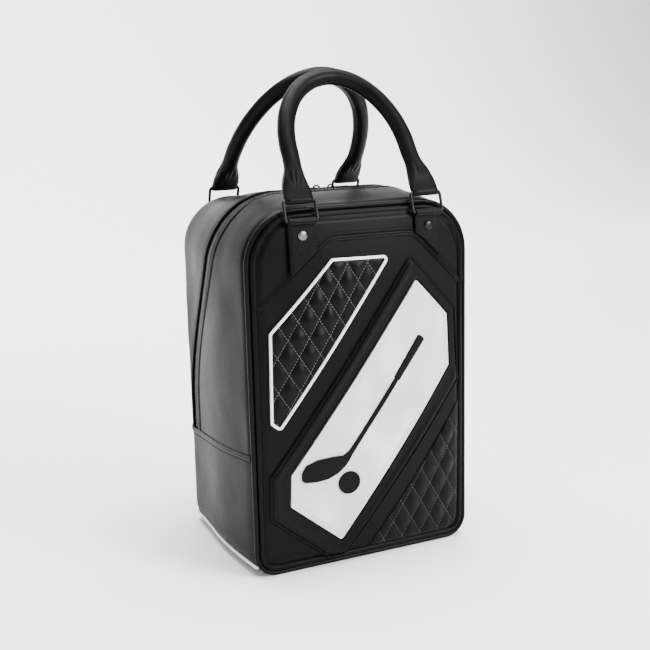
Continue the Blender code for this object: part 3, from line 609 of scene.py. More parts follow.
softbox("left_box", (-1.5, -0.75, 0.55), (0, 0, 0.2), (0.5, 1.3), 14)
softbox("top_box", (0.1, 0.1, 1.7), (0, 0, 0.2), (1.5, 1.0), 95)
softbox("front_box", (1.15, -1.7, 1.15), (0, 0, 0.2), (1.0, 0.9), 112)
softbox("wall_box", (0, 1.5, 1.9), (0, 3.1, 0.4), (5.0, 1.0), 270)
room = bpy.data.worlds.new("room")
room.use_nodes = True
room.node_tree.nodes["Background"].inputs["Color"].default_value = (1, 1, 1, 1)
room.node_tree.nodes["Background"].inputs["Strength"].default_value = 0.15
scene.world = room

# %% [markdown]
# ## The shell of sides and top
# A point on the sides and top is given by a station round the outline and by a depth from the
# front. The zip's own depth changes with the station: it is well back low on the sides and
# further forward on top. Each leather strip is then a closed section drawn in depth and in
# distance below the surface, with its rolled hem where the zip is sewn in.

# %% Shell rules
def swell(depth):
    if depth < ZIP_TOP:
        return sin(pi / 2 * max(depth, 0.0) / ZIP_TOP)
    if depth < FLAT_DEPTH:
        return cos(pi / 2 * (depth - ZIP_TOP) / (FLAT_DEPTH - ZIP_TOP)) ** 2
    return 0.0


def section(depth, below=0.0):
    """Y, half width, top height and corner radius of the outline at a depth."""
    if depth <= FLAT_DEPTH:
        k = swell(depth)
        radius = TOP_RADIUS + CORNER_SWELL * k - below
        return (Y_FRONT + depth, WIDTH / 2 + SIDE_SWELL * k - below,
                HEIGHT + TOP_SWELL * k - below, radius)
    if depth > REAR_END:
        inset = REAR_RADIUS + depth - REAR_END
        return Y_BACK - below, WIDTH / 2 - inset, HEIGHT - inset, TOP_RADIUS - inset
    turn = (depth - FLAT_DEPTH) / REAR_RADIUS
    inset = below + (REAR_RADIUS - below) * (1 - cos(turn))
    y = Y_FRONT + FLAT_DEPTH + (REAR_RADIUS - below) * sin(turn)
    return y, WIDTH / 2 - inset, HEIGHT - inset, TOP_RADIUS - inset


def wrap_top(depth):
    return WRAP_REAR + (WRAP_FRONT - WRAP_REAR) * max(0.0, 1 - depth / FLAT_DEPTH)


def outline_point(station, half, top, radius, low):
    side, part, share = station
    if part == "side":
        return side * half, low + (top - radius - low) * share
    if part == "corner":
        return (side * (half - radius + radius * cos(share * pi / 2)),
                top - radius + radius * sin(share * pi / 2))
    return side * (half - radius) * (1 - share), top


def shell_point(station, depth, below=0.0):
    y, half, top, radius = section(depth, below)
    x, z = outline_point(station, half, top, radius, wrap_top(depth) + GAP)
    return Vector((x, y, z))


HALF_STATIONS = ([("side", s) for s in spread(0, 1, 34)] + [("corner", s) for s in spread(0, 1, 18)[1:]]
                 + [("top", s) for s in spread(0, 1, 12)[1:]])
STATIONS = ([(-1, *s) for s in HALF_STATIONS] + [(1, *s) for s in HALF_STATIONS[-2::-1]])


def zip_depth(station):
    _, half, top, radius = section(ZIP_TOP)
    _, z = outline_point(station, half, top, radius, wrap_top(ZIP_SIDE))
    share = smooth((ZIP_BEND_HIGH - z) / (ZIP_BEND_HIGH - ZIP_BEND_LOW))
    return ZIP_TOP + (ZIP_SIDE - ZIP_TOP) * share


def outward_at(station, depth):
    ahead = shell_point(station, depth) - shell_point(station, depth, 0.001)
    return ahead.normalized()


def band(profile):
    """A closed strip of the shell: profile(station) lists (depth, below) round its section."""
    return loft([[shell_point(s, depth, below) for depth, below in profile(s)] for s in STATIONS])


def shell_line(distance, below):
    """(point, outward) pairs along the zip line at a distance in front of or behind it."""
    return [(shell_point(s, zip_depth(s) + distance, below), outward_at(s, zip_depth(s) + distance))
            for s in STATIONS]


print("stations:", len(STATIONS))

# %% [markdown]
# ### Front strip of the sides and top
# This is one long strip of leather. Its front edge turns in to meet the piping. Its zip edge is
# folded over by nine millimetres and sewn down with two rows, so it stands half a millimetre
# proud, with a shallow groove where the fold ends. A slow wave keeps the long sides from looking
# like sheet metal.

# %% Front strip
HEM, HEM_RISE, ROLL = 0.0098, 0.0006, 0.0010
TUCK, TUCK_LENGTH = 0.0014, 0.0065


def soft(station, depth):
    """How far the leather of the shell wanders in and out."""
    point = shell_point(station, depth)
    wide = sag(point, 0.060, 3.0) * 0.0011 + sag(point, 0.024, 8.0) * 0.00035
    fade = smooth((depth - SHELL_START) / 0.02)
    return -wide * fade


def front_profile(station):
    edge = zip_depth(station) - FRONT_EDGE
    depths = [SHELL_START + d for d in (0, 0.0006, 0.0014, 0.0024, 0.0036, 0.0052, 0.0072, 0.010)]
    depths += spread(0.016, edge - HEM - 0.004, 14)
    depths += [edge - HEM + d for d in (-0.0022, -0.0012, -0.0005, 0.0, 0.0006, 0.0014, 0.0028)]
    depths += [edge - d for d in (0.0058, 0.0046, 0.0034, 0.0022, 0.0012)]
    outer = []
    for depth in depths:
        below = TUCK * (1 - smooth((depth - SHELL_START) / TUCK_LENGTH))
        fade = smooth((edge - HEM - depth) / 0.02)
        below += soft(station, depth) * fade
        below -= HEM_RISE * smooth((depth - edge + HEM) / 0.0016)
        below += 0.00045 * bell(depth, edge - HEM, 0.0018)
        below += 0.00022 * (bell(depth, edge - 0.0034, 0.0011) + bell(depth, edge - 0.0070, 0.0011))
        outer.append((depth, below))
    roll = [(edge - ROLL + ROLL * sin(a), -HEM_RISE + ROLL - ROLL * cos(a))
            for a in spread(0, pi, 8)]
    inner = [(depth, LEATHER) for depth in reversed(depths[::2])]
    return outer + roll + inner


side_front = settle(piece("side_strip_front", band(front_profile), "black_leather"), "root",
                    ["gusset_front"])
hem_rows = [shell_line(-FRONT_EDGE - d, -HEM_RISE + 0.0001) for d in (0.0026, 0.0074)]
stitches("zip_stitches_front", hem_rows, "root")


def shell_lining(name, front, rear, body, node):
    def profile(station):
        first, last = front(station), rear(station)
        depths = spread(first, last, 18)
        wave = [0.0026 + 0.0003 * (1 + sag(shell_point(station, d), 0.03, 5.0)) for d in depths]
        outer = list(zip(depths, wave))
        return outer + [(d, w + 0.0006) for d, w in reversed(outer)]
    item = piece(name, band(profile), "lining_cloth")
    return settle(item, body, [node])


CLEAR = 0.0023 + 0.0117 + 0.001
shell_lining("side_lining_front", lambda s: SHELL_START + 0.003, lambda s: zip_depth(s) - CLEAR,
             "root", "gusset_lining_front")
print("front strip:", len(side_front.data.polygons), "faces")

# %% [markdown]
# ### Rear strip
# Behind the zip the leather is folded into a plump edge that catches the light as a thin ridge.
# It then runs back, turns the rear corner and laps on to the back face. When the bag opens, this
# strip bends at the top of the lower wrap, so it is blended between the body and the flap.

# %% Rear strip
RIDGE_ROLL, BACK_LAP = 0.0014, 0.002


def rear_profile(station):
    edge = zip_depth(station) + REAR_EDGE
    turn = max(FLAT_DEPTH, edge + 0.012)
    depths = [edge + d for d in (0.0016, 0.0026, 0.0036, 0.0046, 0.0058, 0.0072, 0.009)]
    depths += spread(edge + 0.011, turn, 12)[:-1] + spread(turn, REAR_END, 12)
    outer = []
    for depth in depths:
        rise = 0.0007 * (1 - smooth((depth - edge - 0.0014) / 0.0040))
        dip = 0.00035 * bell(depth, edge + 0.0058, 0.002)
        fade = smooth((depth - edge - 0.008) / 0.02) * smooth((REAR_END - depth) / 0.012)
        outer.append((depth, -rise + dip + soft(station, depth) * fade))
    outer += [(REAR_END + 0.001, 0.0001), (REAR_END + BACK_LAP, 0.0008)]
    roll = [(edge + RIDGE_ROLL - RIDGE_ROLL * sin(a), -0.0007 + RIDGE_ROLL + RIDGE_ROLL * cos(a))
            for a in spread(0, pi, 8)]
    inner = [(depth, LEATHER) for depth in [REAR_END + BACK_LAP] + list(reversed(depths[1::2]))]
    return outer + inner + roll


side_rear = settle(piece("side_strip_rear", band(rear_profile), "black_leather"), "fold",
                   ["gusset_rear"])
stitches("zip_stitches_rear", [shell_line(REAR_EDGE + 0.0046, -0.0001)], "fold")
shell_lining("side_lining_rear", lambda s: zip_depth(s) + CLEAR,
             lambda s: max(REAR_END, zip_depth(s) + CLEAR + 0.004), "fold", "gusset_lining_rear")
print("rear strip:", len(side_rear.data.polygons), "faces")

# %% [markdown]
# ### Zip
# Two woven tapes carry moulded teeth. The rear row is set half a pitch along from the front row,
# so that they mesh. One tooth is a small bevelled block with a head, and the row tree does the
# rest.

# %% Zip tapes and teeth
TOOTH_PITCH = 0.0021


def tape(name, near, far, body, node):
    def profile(station):
        depths = spread(zip_depth(station) + near, zip_depth(station) + far, 8)
        outer = [(d, 0.0028 + 0.0001 * (k % 2)) for k, d in enumerate(depths)]
        return outer + [(d, 0.0037) for d in reversed(depths)]
    return settle(piece(name, band(profile), "zip_cloth"), body, [node])


tape("zip_tape_front_cloth", -0.0140, -0.0016, "root", "zip_tape_front")
tape("zip_tape_rear_cloth", 0.0016, 0.0140, "fold", "zip_tape_rear")


def tooth(name, side):
    """One tooth: a foot on the tape and a narrower head that reaches past the middle."""
    bm = bmesh.new()
    rows = []
    for across, wide, tall in ((0.0026, 0.0009, 0.0008), (0.0022, 0.00120, 0.0013),
                               (0.0004, 0.00110, 0.0014), (-0.0001, 0.00085, 0.0013),
                               (-0.0006, 0.00100, 0.0012), (-0.0009, 0.00060, 0.0007)):
        half, cut = wide / 2, wide * 0.22
        rows.append([(x, side * across, z) for x, z in (
            (-half, -tall), (half, -tall), (half, tall * 0.5), (half - cut, tall * 0.8),
            (-half + cut, tall * 0.8), (-half, tall * 0.5))])
    bm = loft(rows)
    bmesh.ops.recalc_face_normals(bm, faces=bm.faces)
    return template(name, bm)


def teeth_line(shift):
    """The zip's middle, cut to a whole number of pitches and started a little along."""
    line = [(shell_point(s, zip_depth(s), 0.0026), outward_at(s, zip_depth(s))) for s in STATIONS]
    lengths = [0.0]
    for (first, _), (second, _) in zip(line, line[1:]):
        lengths.append(lengths[-1] + (second - first).length)
    count = int((lengths[-1] - 0.010) / TOOTH_PITCH)
    stops = np.array([0.004 + shift + TOOTH_PITCH * k for k in range(count)])
    places = [np.interp(stops, lengths, [p[axis] for p, _ in line]) for axis in range(3)]
    outs = [np.interp(stops, lengths, [o[axis] for _, o in line]) for axis in range(3)]
    return [(Vector(p), Vector(o)) for p, o in zip(zip(*places), zip(*outs))]


for label, side, shift, body in (("front", -1, 0.0, "root"), ("rear", 1, TOOTH_PITCH / 2, "fold")):
    row = repeated(f"zip_row_{label}", [teeth_line(shift)], tooth(f"tooth_{label}", side),
                   "zip_resin", TOOTH_PITCH)
    settle(row, body, [f"zip_teeth_{label}"])

# %% [markdown]
# ## Lower wrap and base
# The lower third is wrapped in one more piece of leather that goes round the sides and the back.
# It ends on top in a raised welt and at the bottom in white piping, above a black moulded tray.
# A point here is given by a station in plan and by a height.

# %% Plan rules
def corner_inset(z):
    if z >= BOTTOM_RADIUS:
        return 0.0
    return BOTTOM_RADIUS - sqrt(BOTTOM_RADIUS ** 2 - (BOTTOM_RADIUS - z) ** 2)


def plan(inset, start=SHELL_START, sides=22, corner=10, rear=10):
    """Stations back along the left, across the back and forward on the right: x, y, depth."""
    left = [(-(WIDTH / 2 + SIDE_SWELL * swell(d) - inset), Y_FRONT + d, d)
            for d in spread(start, FLAT_DEPTH, sides)]
    radius = REAR_RADIUS - inset
    for turn in spread(0, pi / 2, corner)[1:]:
        left.append((-(WIDTH / 2 - REAR_RADIUS) - radius * cos(turn),
                     Y_FRONT + FLAT_DEPTH + radius * sin(turn), REAR_END))
    half = WIDTH / 2 - REAR_RADIUS
    left += [(x, Y_BACK - inset, REAR_END) for x in spread(-half, 0, rear)[1:]]
    return left + [(-x, y, d) for x, y, d in reversed(left[:-1])]


PLAN = plan(0)


def plan_outward(i):
    before, after = PLAN[max(i - 1, 0)], PLAN[min(i + 1, len(PLAN) - 1)]
    return Vector((before[1] - after[1], after[0] - before[0], 0)).normalized()


def wall_point(i, z, below, start=SHELL_START):
    x, y, _ = plan(corner_inset(z) + below, start)[i]
    return Vector((x, y, z))


# %% Lower wrap, welt and piping
def wall(levels, low, drop, outer, thickness):
    """A closed wall round the sides and back. outer(i, share) is how far it lies below."""
    insets = {}
    rows = []
    for i, (_, _, depth) in enumerate(PLAN):
        face, inner = [], []
        for share in levels:
            z = low + (wrap_top(depth) - drop - low) * share
            for shift, target in ((outer(i, share, z), face), (thickness, inner)):
                key = round(corner_inset(z) + shift, 6)
                if key not in insets:
                    insets[key] = plan(key)
                x, y, _ = insets[key][i]
                target.append(Vector((x, y, z)))
        rows.append(face + inner[::-1])
    return loft(rows)


def wrap_relief(i, share, z):
    x, y, depth = PLAN[i]
    wide = sag((x, y, z), 0.055, 21.0) * 0.0010 + sag((x, y, z), 0.02, 9.0) * 0.0003
    fade = smooth((depth - SHELL_START) / 0.02) * bell(share, 0.55, 0.56)
    tuck = TUCK * (1 - smooth((depth - SHELL_START) / TUCK_LENGTH)) * (depth < FLAT_DEPTH)
    return -wide * fade + tuck + 0.0006 * smooth((share - 0.955) / 0.045)


LEVELS = [0, 0.004, 0.012, 0.025, 0.045, 0.07, 0.10, 0.14] + spread(0.19, 0.94, 14) + [0.965, 0.985, 1]
settle(piece("lower_wrap", wall(LEVELS, WRAP_LOW + GAP, 0, wrap_relief, LEATHER), "black_leather"),
       "root", ["base_wrap"])
lining_wall = wall(spread(0, 1, 10), BOTTOM_RADIUS + 0.001, 0.001,
                   lambda i, share, z: 0.0028 + 0.0002 * sag(PLAN[i], 0.03), 0.0036)
settle(piece("lower_wrap_lining", lining_wall, "lining_cloth"), "root", ["wrap_lining"])


def round_path(z_of, inset):
    rails = plan(inset)
    return [Vector((x, y, z_of(d))) for x, y, d in rails]


WELT = 0.0018


def welt_section(radius, gap):
    """Two cords side by side under one skin, seen as a double line."""
    points = []
    for centre in (gap / 2, -gap / 2):
        part = [(centre + radius * cos(a), radius * sin(a)) for a in spread(-0.35, pi + 0.35, 9)]
        points += [p for p in part if (p[0] > 0) == (centre > 0)]
    return points + [(-gap / 2 - radius, -radius * 0.5), (gap / 2 + radius, -radius * 0.5)]


ridge_path = round_path(lambda d: wrap_top(d) - WELT, -0.0002)
ridge = sweep(ridge_path, welt_section(0.00125, 0.0022), lambda i: plan_outward(i))
settle(piece("lower_wrap_welt", ridge, "piping_leather"), "root",
       ["base_wrap_ridge"])
low_path = round_path(lambda d: WRAP_LOW, corner_inset(WRAP_LOW) - 0.0016)
piping = sweep(low_path, circle(0.00155, 14), lambda i: plan_outward(i))
settle(piece("white_base_piping", piping, "white_piping"), "root",
       ["base_piping"])
wrap_rows = [[(wall_point(i, wrap_top(PLAN[i][2]) - 0.0066, -0.0001), plan_outward(i))
              for i in range(len(PLAN))]]
stitches("wrap_stitches", wrap_rows, "root")
print("wrap stations:", len(PLAN))

# %% Base tray
def base_tray():
    """The tray under the bag: a rounded edge, then rings that close on the middle."""
    top = atan2(sqrt(BOTTOM_RADIUS ** 2 - (BOTTOM_RADIUS - WRAP_LOW) ** 2), BOTTOM_RADIUS - WRAP_LOW)
    rings = [[(x, y, BOTTOM_RADIUS * (1 - cos(turn))) for x, y, _ in plan(BOTTOM_RADIUS * (1 - sin(turn)))]
             for turn in spread(top, 0, 10)]
    centre = Vector((0, (Y_FRONT + Y_BACK) / 2, 0))
    floor = rings[-1]
    for share in (0.97, 0.93, 0.85, 0.7, 0.5, 0.3, 0.12):
        ring = [centre + (Vector(p) - centre) * share for p in floor]
        recess = 0.0010 * smooth((0.97 - share) / 0.08)
        rings.append([(p.x, p.y, recess) for p in ring])
    inner = []
    for ring in rings:
        scale = 0.985
        inner.append([centre + (Vector(p) - centre) * scale + Vector((0, 0, 0.0014)) for p in ring])
    bm = bmesh.new()
    faces = []
    grids = []
    for rows in (rings, inner):
        grid = [[bm.verts.new(p) for p in row] for row in rows]
        grids.append(grid)
        for upper, lower in zip(grid, grid[1:]):
            for j in range(len(upper)):
                faces.append(bm.faces.new((upper[j], upper[j - 1], lower[j - 1], lower[j])))
        bm.faces.new(grid[-1])
    for j in range(len(rings[0])):
        bm.faces.new((grids[0][0][j], grids[0][0][j - 1], grids[1][0][j - 1], grids[1][0][j]))
    return bm


settle(piece("base_tray", base_tray(), "black_rubber"), "root", ["base_panel"])

# %% [markdown]
# ## The padded front
# The front is skin, foam and board sewn into one crowned panel. Its edge is rolled beside the
# black piping, so the two read as a double bead with a dark groove between them. Every badge and
# quilt on it is laid on the same curved face, so one rule, face_point, gives the height of all
# of them. The crown comes from the same curve as the CAD, with a slow wave added.

# %% Face rules
PANEL_RISE, PANEL_LIFT, FRONT_CROWN, PANEL_INSET = 0.003, 0.001, 0.010, 0.0039
BEAD_MIDDLE, BEAD_RADIUS, GROOVE = 0.0066, 0.0027, 0.0010


def edge_distance(x, z):
    """Distance in from the front's outline."""
    x = abs(x)
    half = WIDTH / 2
    for radius, height, above in ((TOP_RADIUS, HEIGHT - TOP_RADIUS, 1),
                                  (BOTTOM_RADIUS, PANEL_LIFT + BOTTOM_RADIUS, -1)):
        if x > half - radius and (z - height) * above > 0:
            return radius - hypot(x - half + radius, z - height)
    return min(half - x, HEIGHT - z, z - PANEL_LIFT)


def crown(x, z, half, low, high, height):
    middle = (low + high) / 2
    across = 1 - min(abs(x) / half, 1) ** 2.5
    return height * across * (1 - min(abs(z - middle) / (high - middle), 1) ** 2.5)


def face_y(x, z, lift=0.0):
    inset = edge_distance(x, z)
    bead = 0.0
    if abs(inset - BEAD_MIDDLE) < BEAD_RADIUS:
        bead = sqrt(BEAD_RADIUS ** 2 - (inset - BEAD_MIDDLE) ** 2) + 0.0003
    panel = GROOVE + (PANEL_RISE - GROOVE) * smooth((inset - 0.0088) / 0.006)
    rise = bead if inset < BEAD_MIDDLE else max(bead, panel)
    wave = 0.0005 * sag((x, 0, z), 0.07, 40.0) * smooth((inset - 0.01) / 0.03)
    return Y_FRONT - rise - lift - wave - crown(x, z, WIDTH / 2, 0, HEIGHT, FRONT_CROWN)


def face_point(x, z, lift=0.0):
    return Vector((x, face_y(x, z, lift), z))


def front_outline(inset):
    """The front's rounded outline, closed, running anticlockwise seen from the front."""
    half, low, high = WIDTH / 2 - inset, PANEL_LIFT + inset, HEIGHT - inset
    wide, small = TOP_RADIUS - inset, BOTTOM_RADIUS - inset
    right = [(half - small + small * sin(a), low + small - small * cos(a))
             for a in spread(0, pi / 2, 12)]
    right += [(half - wide + wide * cos(a), high - wide + wide * sin(a))
              for a in spread(0, pi / 2, 22)]
    return right + [(-x, z) for x, z in reversed(right)]


def line_distance(point, outline):
    """Distance from a point to a closed outline."""
    best = 1.0
    for i, end in enumerate(outline):
        a, b, p = Vector(outline[i - 1]), Vector(end), Vector(point)
        along = b - a
        share = min(max((p - a).dot(along) / max(along.length_squared, 1e-12), 0.0), 1.0)
        best = min(best, (p - a - along * share).length)
    return best


# %% Front cover
def even_outline(inset):
    """The outline with its straight sides divided, always into the same number of points."""
    points = front_outline(inset)
    result = []
    for k, point in enumerate(points):
        following = points[(k + 1) % len(points)]
        length = hypot(following[0] - point[0], following[1] - point[1])
        count = 40 if length > 0.10 else 1
        result += [tuple(Vector(point).lerp(Vector(following), i / count)) for i in range(count)]
    return result


def front_cover():
    insets = [PANEL_INSET + 0.0004, 0.0045, 0.0050, 0.0056, 0.0062, 0.0068, 0.0074, 0.0080,
              0.0085, 0.0089, 0.0094, 0.0101, 0.0109, 0.0119, 0.0131, 0.0146, 0.0165, 0.0190]
    rings = [even_outline(inset) for inset in insets]
    middle, last = Vector((0, HEIGHT / 2)), rings[-1]
    for share in spread(1, 0.02, 40)[1:]:
        rings.append([tuple(middle + (Vector(p) - middle) * share) for p in last])
    rows = [[face_point(x, z) for x, z in ring] for ring in reversed(rings)]
    back_rows = [[Vector((x, Y_FRONT + 0.0011, z)) for x, z in rings[k]] for k in (0, 6, 17, 30, 45, 57)]
    return loft(rows + back_rows)


cover = settle(piece("padded_front", front_cover(), "black_leather", radians(60)), "root",
               ["front_skin", "front_foam"])
edge_path = [Vector((x, Y_FRONT, z)) for x, z in even_outline(0.0014)]
bead = sweep(edge_path, circle(0.00235, 16), (0, -1, 0), closed=True)
settle(piece("edge_piping", bead, "piping_leather"), "root", ["front_piping"])
print("front cover:", len(cover.data.polygons), "faces")

# %% [markdown]
# ### Flat layers
# A badge or a panel is a thin slab that follows the face. Its outline is filled with rings that
# shrink to its middle, and its edge is rounded over a millimetre, so that it catches a line of
# light. The slab is closed underneath.

# %% Layer helpers
def layer_rings(outline, middle, shares):
    middle = Vector(middle)
    return [[tuple(middle + (Vector(p) - middle) * share) for p in outline] for share in shares]


def slab(name, outline, middle, lift, finish, round_edge=0.0008, under=0.0002, relief=None,
         inner_shares=None):
    """A slab with rounded edges, laid on the face. outline is a dense closed list of (x, z)."""
    size = sum(hypot(x - middle[0], z - middle[1]) for x, z in outline) / len(outline)
    steps = [round_edge * (1 - cos(a)) for a in spread(0, pi / 2, 4)]
    shares = [1 - s / size for s in steps] + (inner_shares or spread(1 - 2.5 * round_edge / size, 0.03, 22))
    drops = [round_edge * (1 - sin(a)) for a in spread(0, pi / 2, 4)] + [0.0] * len(shares)
    rings = layer_rings(outline, middle, shares)
    top = [[face_point(x, z, lift - drop + (relief(x, z) if relief else 0.0)) for x, z in ring]
           for ring, drop in zip(rings, drops)]
    bottom = [[face_point(x, z, under) for x, z in rings[k]] for k in (0, 4, len(rings) // 2, -1)]
    return piece(name, loft(top[::-1] + bottom), finish, radians(50))


# %% Yoke and its welt
YOKE_Z, YOKE_LEFT, YOKE_RIGHT = 0.322, -0.036, 0.0555
YOKE_DROP_LEFT, YOKE_DROP_RIGHT = 0.84, 1.0


def yoke_line(x, rise=0.0):
    """Height of the yoke's lower edge, with its two corners eased."""
    left = YOKE_Z - (YOKE_LEFT - x) * YOKE_DROP_LEFT
    right = YOKE_Z - (x - YOKE_RIGHT) * YOKE_DROP_RIGHT
    ease = max(0.0, 1 - min(abs(x - YOKE_LEFT), abs(x - YOKE_RIGHT)) / 0.010)
    return min(YOKE_Z, left, right) - 0.0020 * ease * ease + rise


def yoke_panel():
    edge = 0.0052
    rows = []
    for k in range(141):
        x = -(WIDTH / 2 - edge) * cos(pi * k / 140)
        low = yoke_line(x, 0.0022)
        radius = TOP_RADIUS - edge
        over = abs(x) - (WIDTH / 2 - TOP_RADIUS)
        top = HEIGHT - TOP_RADIUS + sqrt(max(radius ** 2 - max(over, 0.0) ** 2, 0.0))
        column = []
        for share in [0, 0.006, 0.016, 0.032] + spread(0.06, 0.90, 20) + [0.92, 0.94, 0.96, 0.975, 0.99, 1]:
            z = low + (top - low) * share
            fall = 1 - min((z - low) / 0.0012, 1.0)
            lift = 0.0012 - 0.0009 * fall * fall
            column.append(face_point(x, z, lift))
        under = [face_point(x, low + (top - low) * share, 0.00015) for share in (1, 0.9, 0.5, 0.03, 0)]
        rows.append(column + under)
    return loft(rows)


settle(piece("yoke_leather", yoke_panel(), "black_leather"), "root",
       ["yoke_panel"])
YOKE_REACH = WIDTH / 2 - 0.0088
welt_path = [face_point(x, yoke_line(x), 0.0006) for x in spread(-YOKE_REACH, YOKE_REACH, 120)]
welt = sweep(welt_path, welt_section(0.00125, 0.0023), (0, -1, 0))
settle(piece("yoke_welt", welt, "piping_leather"), "root", ["yoke_ridge"])
yoke_row = [(face_point(x, yoke_line(x, 0.0062), 0.0013), (0, -1, 0))
            for x in spread(-YOKE_REACH, YOKE_REACH, 100)]
stitches("yoke_stitches", [yoke_row], "root", pitch=0.0032)

# %% [markdown]
# ### White plate and its moulded frame
# The six-sided plate is white synthetic leather printed with a halftone of tiny raised dots that
# fades in and out. It sits in a moulded rubber frame with a fine line round its outer edge, a
# broad sloping band, and a thin lip beside the plate. The frame is filled between two outlines,
# and its height follows the distance from each of them.

# %% Outlines on the front
PLATE = [(0.055, 0.277), (0.091, 0.239), (0.093, 0.187), (-0.0293, 0.0252),
         (-0.0828, 0.069), (-0.0818, 0.101)]
FRAME = [(0.050, 0.302), (0.102, 0.247), (0.106, 0.170), (-0.024, 0.0075), (-0.042, 0.0075),
         (-0.104, 0.058), (-0.103, 0.101)]
UPPER_QUILT = [(-0.0995, 0.240), (-0.0345, 0.305), (0.0295, 0.3035), (-0.091, 0.1445),
               (-0.101, 0.153)]
LOWER_QUILT = [(0.108, 0.150), (0.106, 0.026), (0.094, 0.0105), (0.001, 0.0105)]
PLATE_MIDDLE = (0.004, 0.148)
PLATE_LINE = dense(rounded(narrowed(PLATE, 0.0002), 0.0022, 5), 0.004, closed=True)
FRAME_OUTER = rounded(FRAME, 0.006, 6)
FRAME_HOLE = rounded(narrowed(PLATE, -0.0005), 0.0026, 5)


# %% Moulded frame
def ray_length(outline, angle):
    """Distance from the plate's middle to a convex outline in one direction."""
    middle, ray = Vector(PLATE_MIDDLE), Vector((cos(angle), sin(angle)))
    best = 0.0
    for i, end in enumerate(outline):
        a, b = Vector(outline[i - 1]) - middle, Vector(end) - middle
        edge = b - a
        bottom = ray.x * edge.y - ray.y * edge.x
        if abs(bottom) < 1e-12:
            continue
        along = (a.x * edge.y - a.y * edge.x) / bottom
        share = (a.x * ray.y - a.y * ray.x) / bottom
        if along > 0 and -1e-6 <= share <= 1 + 1e-6:
            best = max(best, along)
    return best


def frame_angles():
    marks = sorted(atan2(z - PLATE_MIDDLE[1], x - PLATE_MIDDLE[0])
                   for x, z in dense(FRAME_OUTER, 0.006, True) + dense(FRAME_HOLE, 0.006, True))
    kept = [marks[0]]
    for mark in marks[1:]:
        if mark - kept[-1] > 0.004:
            kept.append(mark)
    return kept


def frame_height(outer, inner):
    """Height of the frame from the distances to its outer and inner edges."""
    shoulder = 0.0030 * smooth((outer + 0.0002) / 0.0016) + 0.0002
    groove = 0.0013 * bell(outer, 0.0030, 0.0011)
    slope = 0.0011 * smooth((0.014 - inner) / 0.012)
    lip = 0.0007 * bell(inner, 0.0011, 0.0010)
    lines = 0.00016 * (1 + cos(2 * pi * inner / 0.0022)) * bell(inner, 0.0075, 0.0052)
    roll = 0.0012 * smooth((0.0009 - inner) / 0.0009)
    return shoulder - groove - slope + lip - lines - roll + 0.0006 * bell(outer, 0.0068, 0.004)


def moulded_frame():
    rows = []
    shares = [0, 0.02, 0.045, 0.07, 0.10, 0.13, 0.16, 0.20] + spread(0.25, 0.80, 16)
    shares += [0.84, 0.87, 0.90, 0.925, 0.95, 0.97, 0.985, 1]
    for angle in frame_angles():
        far, near = ray_length(FRAME_OUTER, angle), ray_length(FRAME_HOLE, angle)
        ray = Vector((cos(angle), sin(angle)))
        column = []
        for share in shares:
            spot = Vector(PLATE_MIDDLE) + ray * (far + (near - far) * share)
            height = frame_height(line_distance(spot, FRAME_OUTER), line_distance(spot, FRAME_HOLE))
            column.append(face_point(spot.x, spot.y, height))
        for share in (1, 0.5, 0):
            spot = Vector(PLATE_MIDDLE) + ray * (far + (near - far) * share)
            column.append(face_point(spot.x, spot.y, 0.0002))
        rows.append(column)
    return loft(rows, closed=True, ring=True)


frame_piece = settle(piece("moulded_frame", moulded_frame(), "badge_leather", radians(50)), "root",
                     ["plate_frame"])
print("frame:", len(frame_piece.data.polygons), "faces")

# %% White plate with raised dots
PLATE_LIFT = 0.0021
settle(slab("white_plate", PLATE_LINE, PLATE_MIDDLE, PLATE_LIFT, "white_leather", 0.0005), "root",
       ["emblem_plate"])
DOT_PITCH, DOT_ROW = 0.0033, 0.00140


def dot_shape():
    bm = bmesh.new()
    rings = [(0.80, -0.10), (0.72, 0.07), (0.40, 0.16)]
    rows = [[(r * 0.001 * cos(pi * k / 4), r * 0.001 * sin(pi * k / 4), h * 0.001)
             for k in range(8)] for r, h in rings]
    bm = loft(rows)
    bmesh.ops.recalc_face_normals(bm, faces=bm.faces)
    return template("dot", bm)


def dot_field():
    """Dots on a staggered grid inside the plate, with sizes that fade in drifts."""
    line, sizes = [], []
    inner = narrowed(PLATE, 0.006)
    for row in range(200):
        z = 0.020 + row * DOT_ROW
        for column in range(70):
            x = -0.095 + (column + 0.5 * (row % 2)) * DOT_PITCH
            if not inside((x, z), inner):
                continue
            drift = noise.noise(Vector((x / 0.030, z / 0.045, 2.7)))
            size = min(max(0.55 + drift * 1.6, 0.0), 1.0)
            if size > 0.30:
                line.append((face_point(x, z, PLATE_LIFT), (0, -1, 0)))
                sizes.append(size)
    return line, sizes


def inside(point, outline):
    """Whether a point is inside a convex outline."""
    side = 0
    for i, end in enumerate(outline):
        a = outline[i - 1]
        turn = (end[0] - a[0]) * (point[1] - a[1]) - (end[1] - a[1]) * (point[0] - a[0])
        if side * turn < 0:
            return False
        side = turn
    return True


dots, dot_sizes = dot_field()
settle(repeated("plate_dots", [dots], dot_shape(), "dot_print", sizes=dot_sizes), "root")
print("dots:", len(dots))

# %% [markdown]
# ### Club and ball
# A plain raised golf club and ball lie along the plate's diagonal. Each is a moulded black shape
# with rounded edges. The ball has shallow dimples in real geometry, set out on a small
# triangular grid.

